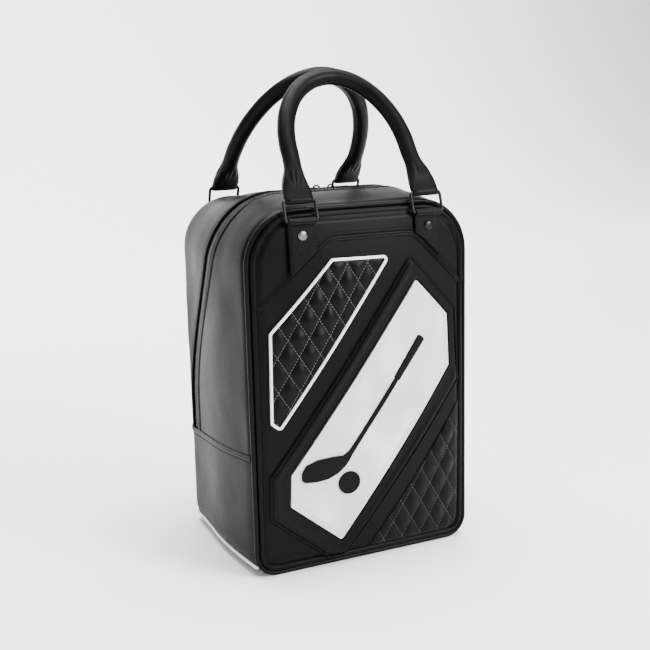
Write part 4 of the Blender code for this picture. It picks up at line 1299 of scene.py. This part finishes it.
# %% Club and ball
MOTIF_ANGLE = atan2(0.165, 0.126)
CLUB = [(0.090, -0.0042, 0.0042), (0.066, -0.0038, 0.0038), (0.044, -0.0034, 0.0034),
        (0.042, -0.0023, 0.0023), (0.020, -0.0023, 0.0023), (-0.002, -0.0023, 0.0023),
        (-0.024, -0.0023, 0.0023), (-0.040, -0.0024, 0.0026), (-0.047, -0.0030, 0.0055),
        (-0.054, -0.0030, 0.0150), (-0.064, -0.0004, 0.0265), (-0.074, 0.0055, 0.0330),
        (-0.082, 0.0140, 0.0325), (-0.087, 0.0215, 0.0290)]
BADGE_LOW, BADGE_HIGH = 0.0024, 0.0041


def turned(u, v):
    """A point given along and across the plate's long diagonal."""
    along, across = (cos(MOTIF_ANGLE), sin(MOTIF_ANGLE)), (-sin(MOTIF_ANGLE), cos(MOTIF_ANGLE))
    return (PLATE_MIDDLE[0] + along[0] * u + across[0] * v,
            PLATE_MIDDLE[1] + along[1] * u + across[1] * v)


def club():
    ends = [(CLUB[0][0] + 0.0012, -0.0026, 0.0026)] + CLUB + [(-0.0885, 0.0240, 0.0275)]
    marks = []
    for first, second in zip(ends, ends[1:]):
        count = max(1, ceil(abs(first[0] - second[0]) / 0.0022))
        marks += [tuple(a + (b - a) * k / count for a, b in zip(first, second)) for k in range(count)]
    marks.append(ends[-1])
    rows = []
    for u, low, high in marks:
        half, middle = (high - low) / 2, (high + low) / 2
        edge = min(0.0007, half * 0.6)
        grip = 0.00025 * (1 + cos(2 * pi * u / 0.0044)) if u > 0.044 else 0.0
        ring = [(-half, BADGE_LOW)]
        ring += [(-half + edge * (1 - cos(a)), BADGE_HIGH - edge + edge * sin(a))
                 for a in spread(0, pi / 2, 4)]
        ring += [(half - edge * (1 - cos(a)), BADGE_HIGH - edge + edge * sin(a))
                 for a in spread(pi / 2, 0, 4)]
        ring += [(half, BADGE_LOW)]
        row = []
        for v, lift in ring:
            x, z = turned(u, middle + v)
            row.append(face_point(x, z, lift - grip * (lift > BADGE_LOW + 0.0006)))
        rows.append(row)
    return loft(rows)


settle(piece("club_badge", club(), "badge_leather"), "root", ["club_motif"])


def ball():
    middle, radius = turned(-0.066, -0.0170), 0.0115
    outline = [(middle[0] + radius * cos(a), middle[1] + radius * sin(a))
               for a in spread(0, 2 * pi, 64)[:-1]]

    def dimples(x, z):
        u, v = (x - middle[0]) / 0.0030, (z - middle[1]) / 0.0026
        u -= 0.5 * (round(v) % 2)
        return -0.0004 * bell(hypot(u - round(u), (v - round(v)) * 0.87), 0, 0.42)
    return slab("ball_badge", outline, middle, BADGE_HIGH, "badge_leather", 0.0007, BADGE_LOW,
                dimples, spread(0.90, 0.02, 34))


settle(ball(), "root", ["ball_motif"])

# %% [markdown]
# ### Quilts
# A quilt is leather over wadding, sewn down along crossing lines, so each diamond puffs up by
# itself. Cloth simulation is the natural way to make it: the sheet is pinned along the seams,
# pressure blows up the rest, and the result is made real. The grid runs along the seams, so the
# pinned lines are clean. A cap keeps the puffs from rising past the wadding, and the stitches
# are laid in the valleys afterwards.

# %% Quilt grid
def diamond_mesh(outline, cell, origin, lift, steps=10):
    """A sheet whose grid follows both sets of seams, cut to a convex outline."""
    half_x, half_z = cell[0] / 2, cell[1] / 2
    bm = bmesh.new()
    seam = bm.verts.layers.float.new("seam")
    reach = 12 * steps
    table = {}
    for p in range(-reach, reach + 1):
        for q in range(-reach, reach + 1):
            x = origin[0] + (p + q) * half_x / steps
            z = origin[1] + (p - q) * half_z / steps
            if line_near((x, z), outline):
                vert = bm.verts.new((x, 0, z))
                vert[seam] = 1.0 if p % steps == 0 or q % steps == 0 else 0.0
                table[p, q] = vert
    for (p, q), vert in table.items():
        corners = [(p, q), (p + 1, q), (p + 1, q + 1), (p, q + 1)]
        if all(corner in table for corner in corners):
            bm.faces.new([table[corner] for corner in corners])
    middle = Vector((sum(x for x, _ in outline) / len(outline), 0,
                     sum(z for _, z in outline) / len(outline)))
    for i, end in enumerate(outline):
        a, b = outline[i - 1], end
        normal = Vector((b[1] - a[1], 0, a[0] - b[0])).normalized()
        spot = Vector((a[0], 0, a[1]))
        if normal.dot(middle - spot) > 0:
            normal = -normal
        bmesh.ops.bisect_plane(bm, geom=bm.verts[:] + bm.edges[:] + bm.faces[:], dist=2e-4,
                               plane_co=spot, plane_no=normal, clear_outer=True)
    loose = [v for v in bm.verts if not v.link_faces]
    bmesh.ops.delete(bm, geom=loose, context="VERTS")
    for vert in bm.verts:
        vert.co = face_point(vert.co.x, vert.co.z, lift)
    bmesh.ops.recalc_face_normals(bm, faces=bm.faces)
    if sum(face.normal.y for face in bm.faces) > 0:
        bmesh.ops.reverse_faces(bm, faces=bm.faces)
    return bm


def line_near(point, outline):
    """Inside the outline or less than a cell outside it."""
    return inside(point, outline) or line_distance(point, outline) < 0.004


def seam_lines(outline, cell, origin, lift):
    """The crossing stitch lines of a quilt, cut to its outline."""
    lines = []
    for sign in (1, -1):
        for k in range(-14, 15):
            points = []
            for t in spread(-6, 6, 900):
                x = origin[0] + (k + t) * cell[0] / 2
                z = origin[1] + sign * (t - k) * cell[1] / 2
                if inside((x, z), outline):
                    points.append((face_point(x, z, lift), (0, -1, 0)))
            if len(points) > 12:
                lines.append(points)
    return lines


# %% Puffing a quilt with cloth
QUILT_LOW, PUFF = 0.0009, 0.0034


def puffed(name, outline, cell, origin, pressure=90.0):
    bm = diamond_mesh(outline, cell, origin, QUILT_LOW)
    mesh = bpy.data.meshes.new(name)
    bm.verts.index_update()
    seam = bm.verts.layers.float["seam"]
    pinned = [v.index for v in bm.verts if v.is_boundary or v[seam] > 0.5]
    bm.to_mesh(mesh)
    bm.free()
    item = bpy.data.objects.new(name, mesh)
    scene.collection.objects.link(item)
    rest = np.array([v.co for v in mesh.vertices])
    group = item.vertex_groups.new(name="seams")
    group.add(pinned, 1.0, "REPLACE")
    cloth = item.modifiers.new("cloth", "CLOTH").settings
    cloth.quality, cloth.mass, cloth.vertex_group_mass = 6, 0.15, "seams"
    cloth.tension_stiffness = cloth.compression_stiffness = 8.0
    cloth.shear_stiffness, cloth.bending_stiffness = 4.0, 0.5
    cloth.use_pressure, cloth.uniform_pressure_force = True, pressure
    cloth.shrink_min = -0.02
    cloth.effector_weights.gravity = 0.0
    for number in range(1, 21):
        scene.frame_set(number)
    graph = bpy.context.evaluated_depsgraph_get()
    blown = item.evaluated_get(graph).to_mesh()
    moved = np.array([v.co for v in blown.vertices])
    item.evaluated_get(graph).to_mesh_clear()
    item.modifiers.clear()
    scene.frame_set(1)
    puff = np.clip(rest[:, 1] - moved[:, 1], 0.0, None)
    print(f"{name}: rises {1000 * puff.max():.2f} mm at most before the cap")
    puff = evened(mesh, PUFF * np.tanh(puff / PUFF), pinned)
    rest[:, 1] -= puff
    mesh.vertices.foreach_set("co", rest.astype(np.float32).ravel())
    mesh.update()
    return close_quilt(item)


def evened(mesh, puff, pinned, rounds=8):
    """Average each point's rise with its neighbours', as wadding under the leather does."""
    ends = np.array([edge.vertices[:] for edge in mesh.edges])
    for _ in range(rounds):
        total, count = np.zeros_like(puff), np.zeros_like(puff)
        for near, far in ((0, 1), (1, 0)):
            np.add.at(total, ends[:, near], puff[ends[:, far]])
            np.add.at(count, ends[:, near], 1.0)
        puff = 0.5 * puff + 0.5 * total / np.maximum(count, 1.0)
        puff[pinned] = 0.0
    return puff * (PUFF * 0.9 / puff.max())


def close_quilt(item):
    """Close the sheet at the back, with an edge that goes down into the seam."""
    bm = bmesh.new()
    bm.from_mesh(item.data)
    rim = [edge for edge in bm.edges if edge.is_boundary]
    made = bmesh.ops.extrude_edge_only(bm, edges=rim)
    low = [part for part in made["geom"] if isinstance(part, bmesh.types.BMVert)]
    for vert in low:
        vert.co = face_point(vert.co.x, vert.co.z, 0.0001)
    open_edges = [edge for edge in bm.edges if edge.is_boundary]
    bmesh.ops.triangle_fill(bm, edges=open_edges, use_beauty=True)
    bmesh.ops.recalc_face_normals(bm, faces=bm.faces)
    bm.to_mesh(item.data)
    bm.free()
    item.data.materials.append(FINISHES["quilted_leather"])
    item.data.shade_smooth()
    item.data.set_sharp_from_angle(angle=radians(70))
    rounder = item.modifiers.new("rounder", "SUBSURF")
    rounder.levels = rounder.render_levels = 1
    return item


# %% The two quilts
UPPER_CELL, UPPER_ORIGIN = (0.021, 0.033), (-0.060, 0.232)
LOWER_CELL, LOWER_ORIGIN = (0.021, 0.034), (0.060, 0.050)
for name, outline, cell, origin, node in (
        ("upper_quilt_pad", narrowed(UPPER_QUILT, 0.0032), UPPER_CELL, UPPER_ORIGIN, "upper_quilt"),
        ("lower_quilt_pad", LOWER_QUILT, LOWER_CELL, LOWER_ORIGIN, "lower_quilt")):
    pad = settle(puffed(name, outline, cell, origin), "root", [node])
    rows = seam_lines(narrowed(outline, 0.0014), cell, origin, QUILT_LOW + 0.00045)
    stitches(name.replace("pad", "stitches"), rows, "root",
             "pale_thread" if node == "upper_quilt" else "grey_thread", 0.0030, QUILT_STITCH)

quilt_line = dense(rounded(narrowed(UPPER_QUILT, 0.002), 0.0028), 0.003, closed=True)
quilt_bead = sweep([face_point(x, z, 0.0017) for x, z in quilt_line], circle(0.0014, 14),
                   (0, -1, 0), closed=True)
settle(piece("quilt_piping", quilt_bead, "white_piping"), "root",
       ["upper_quilt_piping"])

# %% [markdown]
# ## Back panel
# The back is plain leather, sewn inside the lap of the rear strip. It bends with the flap over
# the top of the lower wrap, as leather does, so the panel and the layers behind it are blended
# between the body and the flap.

# %% Back panel and linings
def back_sheet(inset, low, front_y, rear_y, columns=48, rows=44):
    """A closed sheet between two surfaces, cut to the back's rounded outline."""
    half, top, radius = WIDTH / 2 - inset, HEIGHT - inset, TOP_RADIUS - inset
    grid = []
    for k in range(columns + 1):
        x = -half * cos(pi * k / columns)
        over = max(abs(x) - half + radius, 0.0)
        high = top - radius + sqrt(max(radius ** 2 - over ** 2, 0.0))
        shares = [0, 0.005, 0.015] + spread(0.03, 0.97, rows) + [0.985, 0.995, 1]
        heights = [low + (high - low) * s for s in shares]
        column = [Vector((x, rear_y(x, z), z)) for z in heights]
        grid.append(column + [Vector((x, front_y(x, z), z)) for z in heights[::-2]])
    return loft(grid)


BACK_INSET = REAR_RADIUS + BACK_LAP + GAP
BACK_CROWN = 0.005


def back_face(x, z):
    inset = min(WIDTH / 2 - BACK_INSET - abs(x), z - WRAP_REAR, HEIGHT - BACK_INSET - z)
    rise = crown(x, z, WIDTH / 2 - REAR_RADIUS, WRAP_REAR, HEIGHT - REAR_RADIUS, BACK_CROWN)
    fall = 0.0012 * (1 - smooth(inset / 0.004))
    return Y_BACK + rise - fall + 0.0004 * sag((x, 0, z), 0.06, 77.0) * smooth(inset / 0.02)


back_cover = back_sheet(BACK_INSET, WRAP_REAR + 0.0006, lambda x, z: Y_BACK - LEATHER, back_face)
settle(piece("back_leather", back_cover, "black_leather"), "fold", ["back_panel"])
BOARD_Y = Y_BACK - LEATHER - GAP
board = back_sheet(BACK_INSET + 0.003, WRAP_REAR + 0.003, lambda x, z: BOARD_Y - 0.0016,
                   lambda x, z: BOARD_Y, 24, 30)
settle(piece("back_stiffener", board, "board"), "fold", ["back_board"])
cloth_y = BOARD_Y - 0.0016 - GAP
inner_cloth = back_sheet(BACK_INSET + 0.003, WRAP_REAR + 0.003, lambda x, z: cloth_y - 0.0007,
                         lambda x, z: cloth_y, 24, 30)
settle(piece("back_inner_lining", inner_cloth, "lining_cloth"), "fold", ["back_lining"])


def back_row(inset):
    half, top, radius = WIDTH / 2 - inset, HEIGHT - inset, TOP_RADIUS - inset
    low = WRAP_REAR + 0.006
    points = [(-half, z) for z in spread(low, top - radius, 40)]
    points += [(-half + radius - radius * cos(a), top - radius + radius * sin(a))
               for a in spread(0, pi / 2, 12)[1:]]
    points += [(x, top) for x in spread(-half + radius, 0, 14)[1:]]
    points += [(-x, z) for x, z in points[-2::-1]]
    return [(Vector((x, back_face(x, z) + 0.0001, z)), (0, 1, 0)) for x, z in points]


stitches("back_stitches", [back_row(BACK_INSET + 0.0052)], "fold")

# %% Inside of the front and the floor of the bag
def soft_sheet(name, outline, middle, y, thickness, seed):
    rings = layer_rings(outline, middle, spread(1, 0.02, 16))
    top = [[Vector((x, y - 0.0004 * sag((x, 0, z), 0.04, seed), z)) for x, z in ring] for ring in rings]
    low = [[Vector((x, y + thickness, z)) for x, z in rings[k]] for k in (0, 8, -1)]
    return piece(name, loft(top[::-1] + low), "lining_cloth")


inner_y = Y_FRONT + 0.0016 + GAP + 0.0016 + GAP
settle(soft_sheet("front_inner_lining", even_outline(PANEL_INSET + 0.0006), (0, HEIGHT / 2),
                  inner_y + 0.0004, 0.0004, 12.0), "root", ["front_lining"])
floor_low, floor_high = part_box("base_lining")


def floor_lining():
    rim = [(x, y) for x, y, _ in plan(BOTTOM_RADIUS - 0.001, SHELL_START + 0.004)]
    middle = (0, (Y_FRONT + Y_BACK) / 2)
    rings = layer_rings(rim, middle, spread(1, 0.02, 12))
    top = [[Vector((x, y, floor_high.z - 0.0002 * (1 + sag((x, y, 0), 0.04)))) for x, y in ring]
           for ring in rings]
    low = [[Vector((x, y, floor_low.z)) for x, y in rings[k]] for k in (0, 6, -1)]
    return loft(top[::-1] + low)


settle(piece("floor_lining", floor_lining(), "lining_cloth"), "root", ["base_lining"])
for node, finish in (("front_board", "board"), ("base_board", "board")):
    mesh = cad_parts[node].data
    mesh.materials.clear()
    mesh.materials.append(FINISHES[finish])
print("hidden layers keep their CAD shape: front_board, base_board")

# %% [markdown]
# ## Straps, rings and rivets
# Each ring hangs in a loop of leather strap, riveted to the panel. The strap is a ribbon folded
# over the ring's lower bar: up the front, round the bar and down behind. Its section is drawn
# from the side and carried across its width, and it is sewn along both sides, across the top and
# in a V at its foot.

# %% Strap
TAB_WIDTH, TAB, WIRE = 0.028, 0.002, 0.0015
RING_LOW_Z, RING_HIGH_Z, RING_WIDTH, RING_CORNER, RING_LEAN = 0.341, 0.3595, 0.032, 0.0025, 0.0058
BAR_FRONT, BAR_BACK = Y_FRONT - 0.0098, Y_BACK + 0.0056
# Each side's middle, half spacing of the straps, handle lean, leg, half width and length
CARRY = {-1: (0.0035, 0.0665, radians(32.3), 0.0500, 0.0628, 0.1313),
         1: (0.0105, 0.0725, radians(39.5), 0.0300, 0.0735, 0.1470)}
RIVET_Z = 0.328
LOOP_HOLE, RIBBON = 0.0019, 0.0014


def cad_face(side):
    """The smooth crowned face without its edge roll, which the straps are measured from."""
    if side < 0:
        return lambda x, z: Y_FRONT - PANEL_RISE - crown(x, z, WIDTH / 2, 0, HEIGHT, FRONT_CROWN)
    return lambda x, z: Y_BACK + crown(x, z, WIDTH / 2 - REAR_RADIUS, WRAP_REAR,
                                       HEIGHT - REAR_RADIUS, BACK_CROWN)


def strap_rule(x, side):
    """Depth of the strap's inner face as a function of height, and its foot's height."""
    foot = (lambda at: yoke_line(at, 0.0030)) if side < 0 else (lambda at: 0.292)
    near = x - TAB_WIDTH / 2 if x > 0 else x + TAB_WIDTH / 2
    low, high = foot(x + TAB_WIDTH / 2 if x > 0 else x - TAB_WIDTH / 2), RING_LOW_Z + 0.001
    shift = side * (0.0024 if side < 0 else 0.0008)
    face = cad_face(side)
    start, end = face(near, low) + shift, face(near, high) + shift
    return (lambda z: start + (end - start) * (z - low) / (high - low)), foot


def strap(x, side):
    rule, foot = strap_rule(x, side)
    bar = Vector((BAR_FRONT if side < 0 else BAR_BACK, RING_LOW_Z))
    rows = []
    for share, edge in ((-1, 0.45), (-0.985, 0.22), (-0.955, 0.06), (-0.92, 0), (-0.6, 0), (-0.3, 0),
                        (0, 0), (0.3, 0), (0.6, 0), (0.92, 0), (0.955, 0.06), (0.985, 0.22), (1, 0.45)):
        at = x + share * TAB_WIDTH / 2
        low = foot(at)
        outside, inside_y = TAB - edge * 0.001, edge * 0.001
        front = [(rule(z) + side * outside, z) for z in spread(low, RING_LOW_Z - 0.0045, 10)]
        out_r = LOOP_HOLE + RIBBON - edge * 0.001
        turn = [(bar.x + side * out_r * cos(a), bar.y + out_r * sin(a))
                for a in spread(-0.35, pi + 0.6, 16)]
        behind = [(rule(z) + side * inside_y, z) for z in spread(RING_LOW_Z - 0.0045, low, 6)]
        rows.append([Vector((at, y, z)) for y, z in front + turn + behind])
    return loft(rows)


def strap_stitches(x, side):
    rule, foot = strap_rule(x, side)
    lift = TAB + 0.0001
    half = TAB_WIDTH / 2 - 0.0028

    def at(px, z):
        return Vector((px, rule(z) + side * lift, z)), (0, side, 0)
    lines = []
    for edge in (-half, half):
        lines.append([at(x + edge, z) for z in spread(foot(x + edge) + 0.003, RING_LOW_Z - 0.0062, 14)])
    lines.append([at(px, RING_LOW_Z - 0.0056) for px in spread(x - half, x + half, 14)])
    tip = (x, foot(x) + 0.0030)
    for edge in (-half, half):
        start = (x + edge, RIVET_Z - (0.004 if side < 0 else 0.013))
        lines.append([at(*Vector(start).lerp(Vector(tip), s)) for s in spread(0, 1, 10)])
    return lines


# %% Rivet
def rivet(name, x, side, finish):
    """A turned rivet head, cut by a driver slot."""
    rule, _ = strap_rule(x, side)
    z = RIVET_Z if side < 0 else RIVET_Z - 0.009
    outline = [(0.0001, 0.00165), (0.0012, 0.00160), (0.0024, 0.00148), (0.0034, 0.00125),
               (0.0041, 0.00095), (0.0045, 0.00060), (0.0047, 0.00025), (0.0047, -0.0001),
               (0.0016, -0.0002), (0.0015, -0.0018), (0.0001, -0.0018)]
    bm = loft([[(r * cos(a), r * sin(a), h) for r, h in outline] for a in spread(0, 2 * pi, 40)[:-1]],
              closed=False, ring=True)
    bmesh.ops.holes_fill(bm, edges=bm.edges)
    head = piece(name, bm, finish)
    cutter_mesh = bmesh.new()
    bmesh.ops.create_cube(cutter_mesh, matrix=Matrix.Translation((0, 0, 0.0014))
                          @ Matrix.Diagonal((0.0072, 0.0016, 0.0018, 1)))
    cutter = template("slot_cutter", cutter_mesh)
    scene.collection.objects.link(cutter)
    cut = head.modifiers.new("slot", "BOOLEAN")
    cut.object, cut.operation, cut.solver = cutter, "DIFFERENCE", "EXACT"
    made_real(head)
    bpy.data.objects.remove(cutter)
    tilt = atan2(rule(RING_LOW_Z) - rule(z), RING_LOW_Z - z)
    angle = radians(20)
    place = (Matrix.Translation((x, rule(z) + side * (TAB + GAP), z))
             @ Matrix.Rotation(-side * pi / 2 - tilt, 4, "X") @ Matrix.Rotation(angle, 4, "Z"))
    head.data.transform(place)
    return head


def made_real(item):
    """Swap an object's mesh for its evaluated one and drop the modifiers."""
    bpy.context.view_layer.update()
    graph = bpy.context.evaluated_depsgraph_get()
    mesh = bpy.data.meshes.new_from_object(item.evaluated_get(graph))
    item.modifiers.clear()
    item.data = mesh
    mesh.shade_smooth()
    mesh.set_sharp_from_angle(angle=SHARP)


# %% Ring
def ring(name, x, side):
    """A rounded rectangle of round wire that leans towards the bag."""
    bar = BAR_FRONT if side < 0 else BAR_BACK
    rise = Vector((0, -side * RING_LEAN, RING_HIGH_Z - RING_LOW_Z))
    height = rise.length
    rise.normalize()
    half = RING_WIDTH / 2
    corners = rounded([(-half, 0), (half, 0), (half, height), (-half, height)], RING_CORNER, 8)
    path = [Vector((x + u, bar, RING_LOW_Z)) + rise * v for u, v in dense(corners, 0.004, True)]
    normal = Vector((1, 0, 0)).cross(rise)
    return piece(name, sweep(path, circle(WIRE, 16), normal, closed=True), "gunmetal")


for where, side, body, ring_body in (("front", -1, "root", "front_rings"),
                                     ("back", 1, "flap", "back_rings")):
    sewn = []
    for label, share in (("left", -1), ("right", 1)):
        x = CARRY[side][0] + share * CARRY[side][1]
        # The front left rivet gets the brighter metal: a painted highlight on one of four like rivets.
        painted_glint_rivet = where == "front" and label == "left"
        settle(piece(f"{where}_strap_{label}", strap(x, side), "black_leather"), body,
               [f"{where}_tab_{label}"])
        settle(rivet(f"{where}_rivet_head_{label}", x, side, "silver" if painted_glint_rivet else "gunmetal"),
               body, [f"{where}_rivet_{label}"])
        settle(ring(f"{where}_wire_ring_{label}", x, side), ring_body,
               [f"{where}_ring_{label}"])
        sewn += strap_stitches(x, side)
    stitches(f"{where}_strap_stitches", sewn, body, "dark_thread", 0.0030,
             SMALL_STITCH)

# %% [markdown]
# ## Handles
# A handle is leather rolled round a cord. Its two edges meet in a sewn seam on the inside of the
# arch, and its ends are flattened into loops round the rings, with small pleats where the tube
# is gathered. The section is drawn from the seam outwards, so the seam stays on the inner side.

# %% Handle rules
HANDLE_WIDE, HANDLE_NARROW = 0.0082, 0.0076
LOOP_RADIUS, LEG_START, FLARE_LENGTH = 0.0037, 0.006, 0.030
SEAM_SIDE = [0.05, 0.11, 0.18, 0.26, 0.36, 0.48]
SEAM_ANGLES = [-a for a in reversed(SEAM_SIDE)] + [0] + SEAM_SIDE + spread(0.60, 2 * pi - 0.60, 48)


def handle_path(side):
    """The handle's line as x and height above its bars."""
    _, reach, _, leg, spread_x, length = CARRY[side]
    half = [(-reach, -LOOP_RADIUS * cos(a)) for a in spread(0.12, pi / 2, 5)]
    half += [(-reach, h) for h in spread(0, LEG_START, 3)[1:]]
    for h in spread(LEG_START, leg, 16)[1:]:
        shift = smooth((h - LEG_START) / (leg - LEG_START))
        half.append((-reach + (reach - spread_x) * shift, h))
    half += [(-spread_x * cos(a), leg + (length - leg) * sin(a)) for a in spread(0, pi / 2, 34)[1:]]
    return half + [(-x, h) for x, h in reversed(half[:-1])]


def handle_section(side):
    """At each point of the path: height, centre, inward and across vectors, flare and radii."""
    middle, lean = CARRY[side][0], CARRY[side][2]
    bar_y = (BAR_FRONT if side < 0 else BAR_BACK) - side * RING_LEAN
    up_way = Vector((0, -side * sin(lean), cos(lean)))
    across = Vector((0, -side * cos(lean), -sin(lean)))
    path = handle_path(side)
    last = len(path) - 1
    for i, (x, h) in enumerate(path):
        ahead = Vector(path[min(i + 1, last)]) - Vector(path[max(i - 1, 0)])
        ahead.normalize()
        inward = Vector((ahead.y, 0, 0)) - up_way * ahead.x
        centre = Vector((middle + x, bar_y, RING_HIGH_Z)) + up_way * h
        flare = 1 - smooth((h - LEG_START) / FLARE_LENGTH)
        wide = HANDLE_WIDE + (TAB_WIDTH / 2 - HANDLE_WIDE) * flare
        narrow = HANDLE_NARROW + (LOOP_RADIUS - HANDLE_NARROW) * flare
        if h < 0:
            narrow = sqrt(max(LOOP_RADIUS ** 2 - h ** 2, 1e-8))
        yield h, centre, inward, across, flare, wide, narrow


def oval(angle, wide, narrow, flare):
    power = 2 + 3 * flare
    a, b = abs(cos(angle)) / wide, abs(sin(angle)) / narrow
    return (a ** power + b ** power) ** (-1 / power)


def handle(name, side):
    rows = []
    for h, centre, inward, across, flare, wide, narrow in handle_section(side):
        row = []
        for angle in SEAM_ANGLES:
            radius = oval(angle, wide, narrow, flare)
            off = min(abs(angle), abs(2 * pi - angle))
            radius += (1 - flare) * (0.00075 * bell(off, 0.17, 0.20) - 0.0012 * bell(off, 0, 0.08))
            radius += 0.00045 * sin(9 * angle + 60 * h) * bell(flare, 0.45, 0.45)
            point = centre + (inward * cos(angle) + across * sin(angle)) * radius
            wave = 0.00022 * sag(point, 0.010, 5.0) * (1 - flare)
            row.append(point + (point - centre).normalized() * wave)
        rows.append(row)
    item = piece(name, loft(rows), "black_leather")
    bar_y = (BAR_FRONT if side < 0 else BAR_BACK) - side * RING_LEAN
    cutters = []
    for share in (-1, 1):
        bm = bmesh.new()
        place = Matrix.Translation((CARRY[side][0] + share * CARRY[side][1], bar_y, RING_HIGH_Z))
        bmesh.ops.create_cone(bm, cap_ends=True, segments=24, radius1=LOOP_HOLE, radius2=LOOP_HOLE,
                              depth=0.05, matrix=place @ Matrix.Rotation(pi / 2, 4, "Y"))
        cutter = template("ring_hole", bm)
        scene.collection.objects.link(cutter)
        cut = item.modifiers.new("hole", "BOOLEAN")
        cut.object, cut.operation, cut.solver = cutter, "DIFFERENCE", "EXACT"
        cutters.append(cutter)
    made_real(item)
    for cutter in cutters:
        bpy.data.objects.remove(cutter)
    return item


def handle_rows(side):
    """Stitch lines on both sides of the seam."""
    lines = [[], []]
    for h, centre, inward, across, flare, wide, narrow in handle_section(side):
        if h < LEG_START + 0.020:
            continue
        for line, angle in zip(lines, (0.44, -0.44)):
            way = inward * cos(angle) + across * sin(angle)
            line.append((centre + way * (oval(angle, wide, narrow, flare) + 0.0001), way))
    return lines


for where, side in (("front", -1), ("back", 1)):
    grip = settle(handle(f"{where}_rolled_handle", side), f"{where}_handle",
                  [f"{where}_handle"])
    stitches(f"{where}_handle_stitches", handle_rows(side), f"{where}_handle",
             "dark_thread", 0.0034, SMALL_STITCH)

# %% [markdown]
# ## Zip sliders and pullers
# Two sliders meet in the middle of the top. Each is a cast body: a plate with turned-down sides,
# a bridge, and a flat puller with a slot at the bridge and a hole near its end. The puller
# lies along the zip at rest.

# %% Slider and puller
SLIDER_X, ZIP_Y = 0.008, Y_FRONT + ZIP_TOP
SLIDER_BASE = HEIGHT + TOP_SWELL - 0.0022 + GAP
PLATE_THICK = 0.0016
PULLER = 0.0013
PULLER_Z = SLIDER_BASE + PLATE_THICK + 0.0003 + PULLER / 2


def slider(side):
    """The plate, wider where the two rows come together, with an arched bridge on top."""
    outline = rounded([(-0.005, -0.0030), (0.0016, -0.0040), (0.005, -0.0036), (0.005, 0.0036),
                       (0.0016, 0.0040), (-0.005, 0.0030)], 0.0010, 4)
    rows = []
    for height, shrink in ((0, 0.94), (0.0003, 1.0), (0.0012, 1.0), (0.0015, 0.96), (0.0016, 0.88)):
        rows.append([(side * u * shrink, v * shrink, height) for u, v in outline])
    bm = loft(rows)
    arch_line = [(u, h) for u, h in ((-0.0034, 0.0010), (-0.0033, 0.0028), (-0.0026, 0.0041),
                                     (-0.0014, 0.0049), (0.0, 0.0051), (0.0014, 0.0049),
                                     (0.0026, 0.0041), (0.0033, 0.0028), (0.0034, 0.0010))]
    bridge = sweep([Vector((side * u, 0, h)) for u, h in arch_line],
                   [(a * 1.3, b * 0.9) for a, b in circle(0.0010, 10)], (0, 0, 1))
    return bm, bridge


def puller():
    """A flat tag with rounded ends, a slot for the bridge and a hole at the far end."""
    outline = rounded([(-0.0008, -0.0020), (0.0100, -0.0022), (0.0198, -0.0028), (0.0198, 0.0028),
                       (0.0100, 0.0022), (-0.0008, 0.0020)], 0.0014, 5)
    rows = []
    half = PULLER / 2
    for height, inset in ((-half, 0.0003), (-half + 0.0002, 0), (half - 0.0002, 0), (half, 0.0003)):
        ring_points = narrowed(outline, inset) if inset else outline
        rows.append([(u, v, height) for u, v in ring_points])
    return loft(rows)


def cut_block(size, centre):
    bm = bmesh.new()
    bmesh.ops.create_cube(bm, matrix=Matrix.Translation(centre) @ Matrix.Diagonal((*size, 1)))
    item = template("cutter", bm)
    scene.collection.objects.link(item)
    return item


for label, side in (("left", -1), ("right", 1)):
    plate, bridge = slider(side)
    body_piece = piece(f"slider_body_{label}", plate, "gunmetal")
    arch_piece = piece(f"slider_arch_{label}", bridge, "gunmetal")
    join = body_piece.modifiers.new("bridge", "BOOLEAN")
    join.object, join.operation, join.solver = arch_piece, "UNION", "EXACT"
    made_real(body_piece)
    bpy.data.objects.remove(arch_piece)
    body_piece.data.transform(Matrix.Translation((side * SLIDER_X, ZIP_Y, SLIDER_BASE)))
    settle(body_piece, f"slider_{label}", [f"slider_{label}"])
    tag = piece(f"puller_tag_{label}", puller(), "gunmetal")
    cutters = [cut_block((0.0042, 0.0027, 0.01), (0.0028, 0, 0)),
               cut_block((0.0060, 0.0022, 0.01), (0.0142, 0, 0))]
    for cutter in cutters:
        cut = tag.modifiers.new("slot", "BOOLEAN")
        cut.object, cut.operation, cut.solver = cutter, "DIFFERENCE", "EXACT"
    made_real(tag)
    for cutter in cutters:
        bpy.data.objects.remove(cutter)
    spin = Matrix.Rotation(pi, 4, "Z") if side < 0 else Matrix.Identity(4)
    tag.data.transform(Matrix.Translation((side * SLIDER_X, ZIP_Y, PULLER_Z)) @ spin)
    settle(tag, f"puller_{label}", [f"puller_{label}"])

for label in ("left", "right"):
    low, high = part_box(f"zip_stop_{label}")
    centre, size = (low + high) / 2, high - low
    bm = bmesh.new()
    bmesh.ops.create_cube(bm, matrix=Matrix.Translation(centre) @ Matrix.Diagonal((*size, 1)))
    bmesh.ops.bevel(bm, geom=bm.edges[:], offset=0.0003, segments=3, affect="EDGES")
    settle(piece(f"zip_end_{label}", bm, "gunmetal"), "root", [f"zip_stop_{label}"])
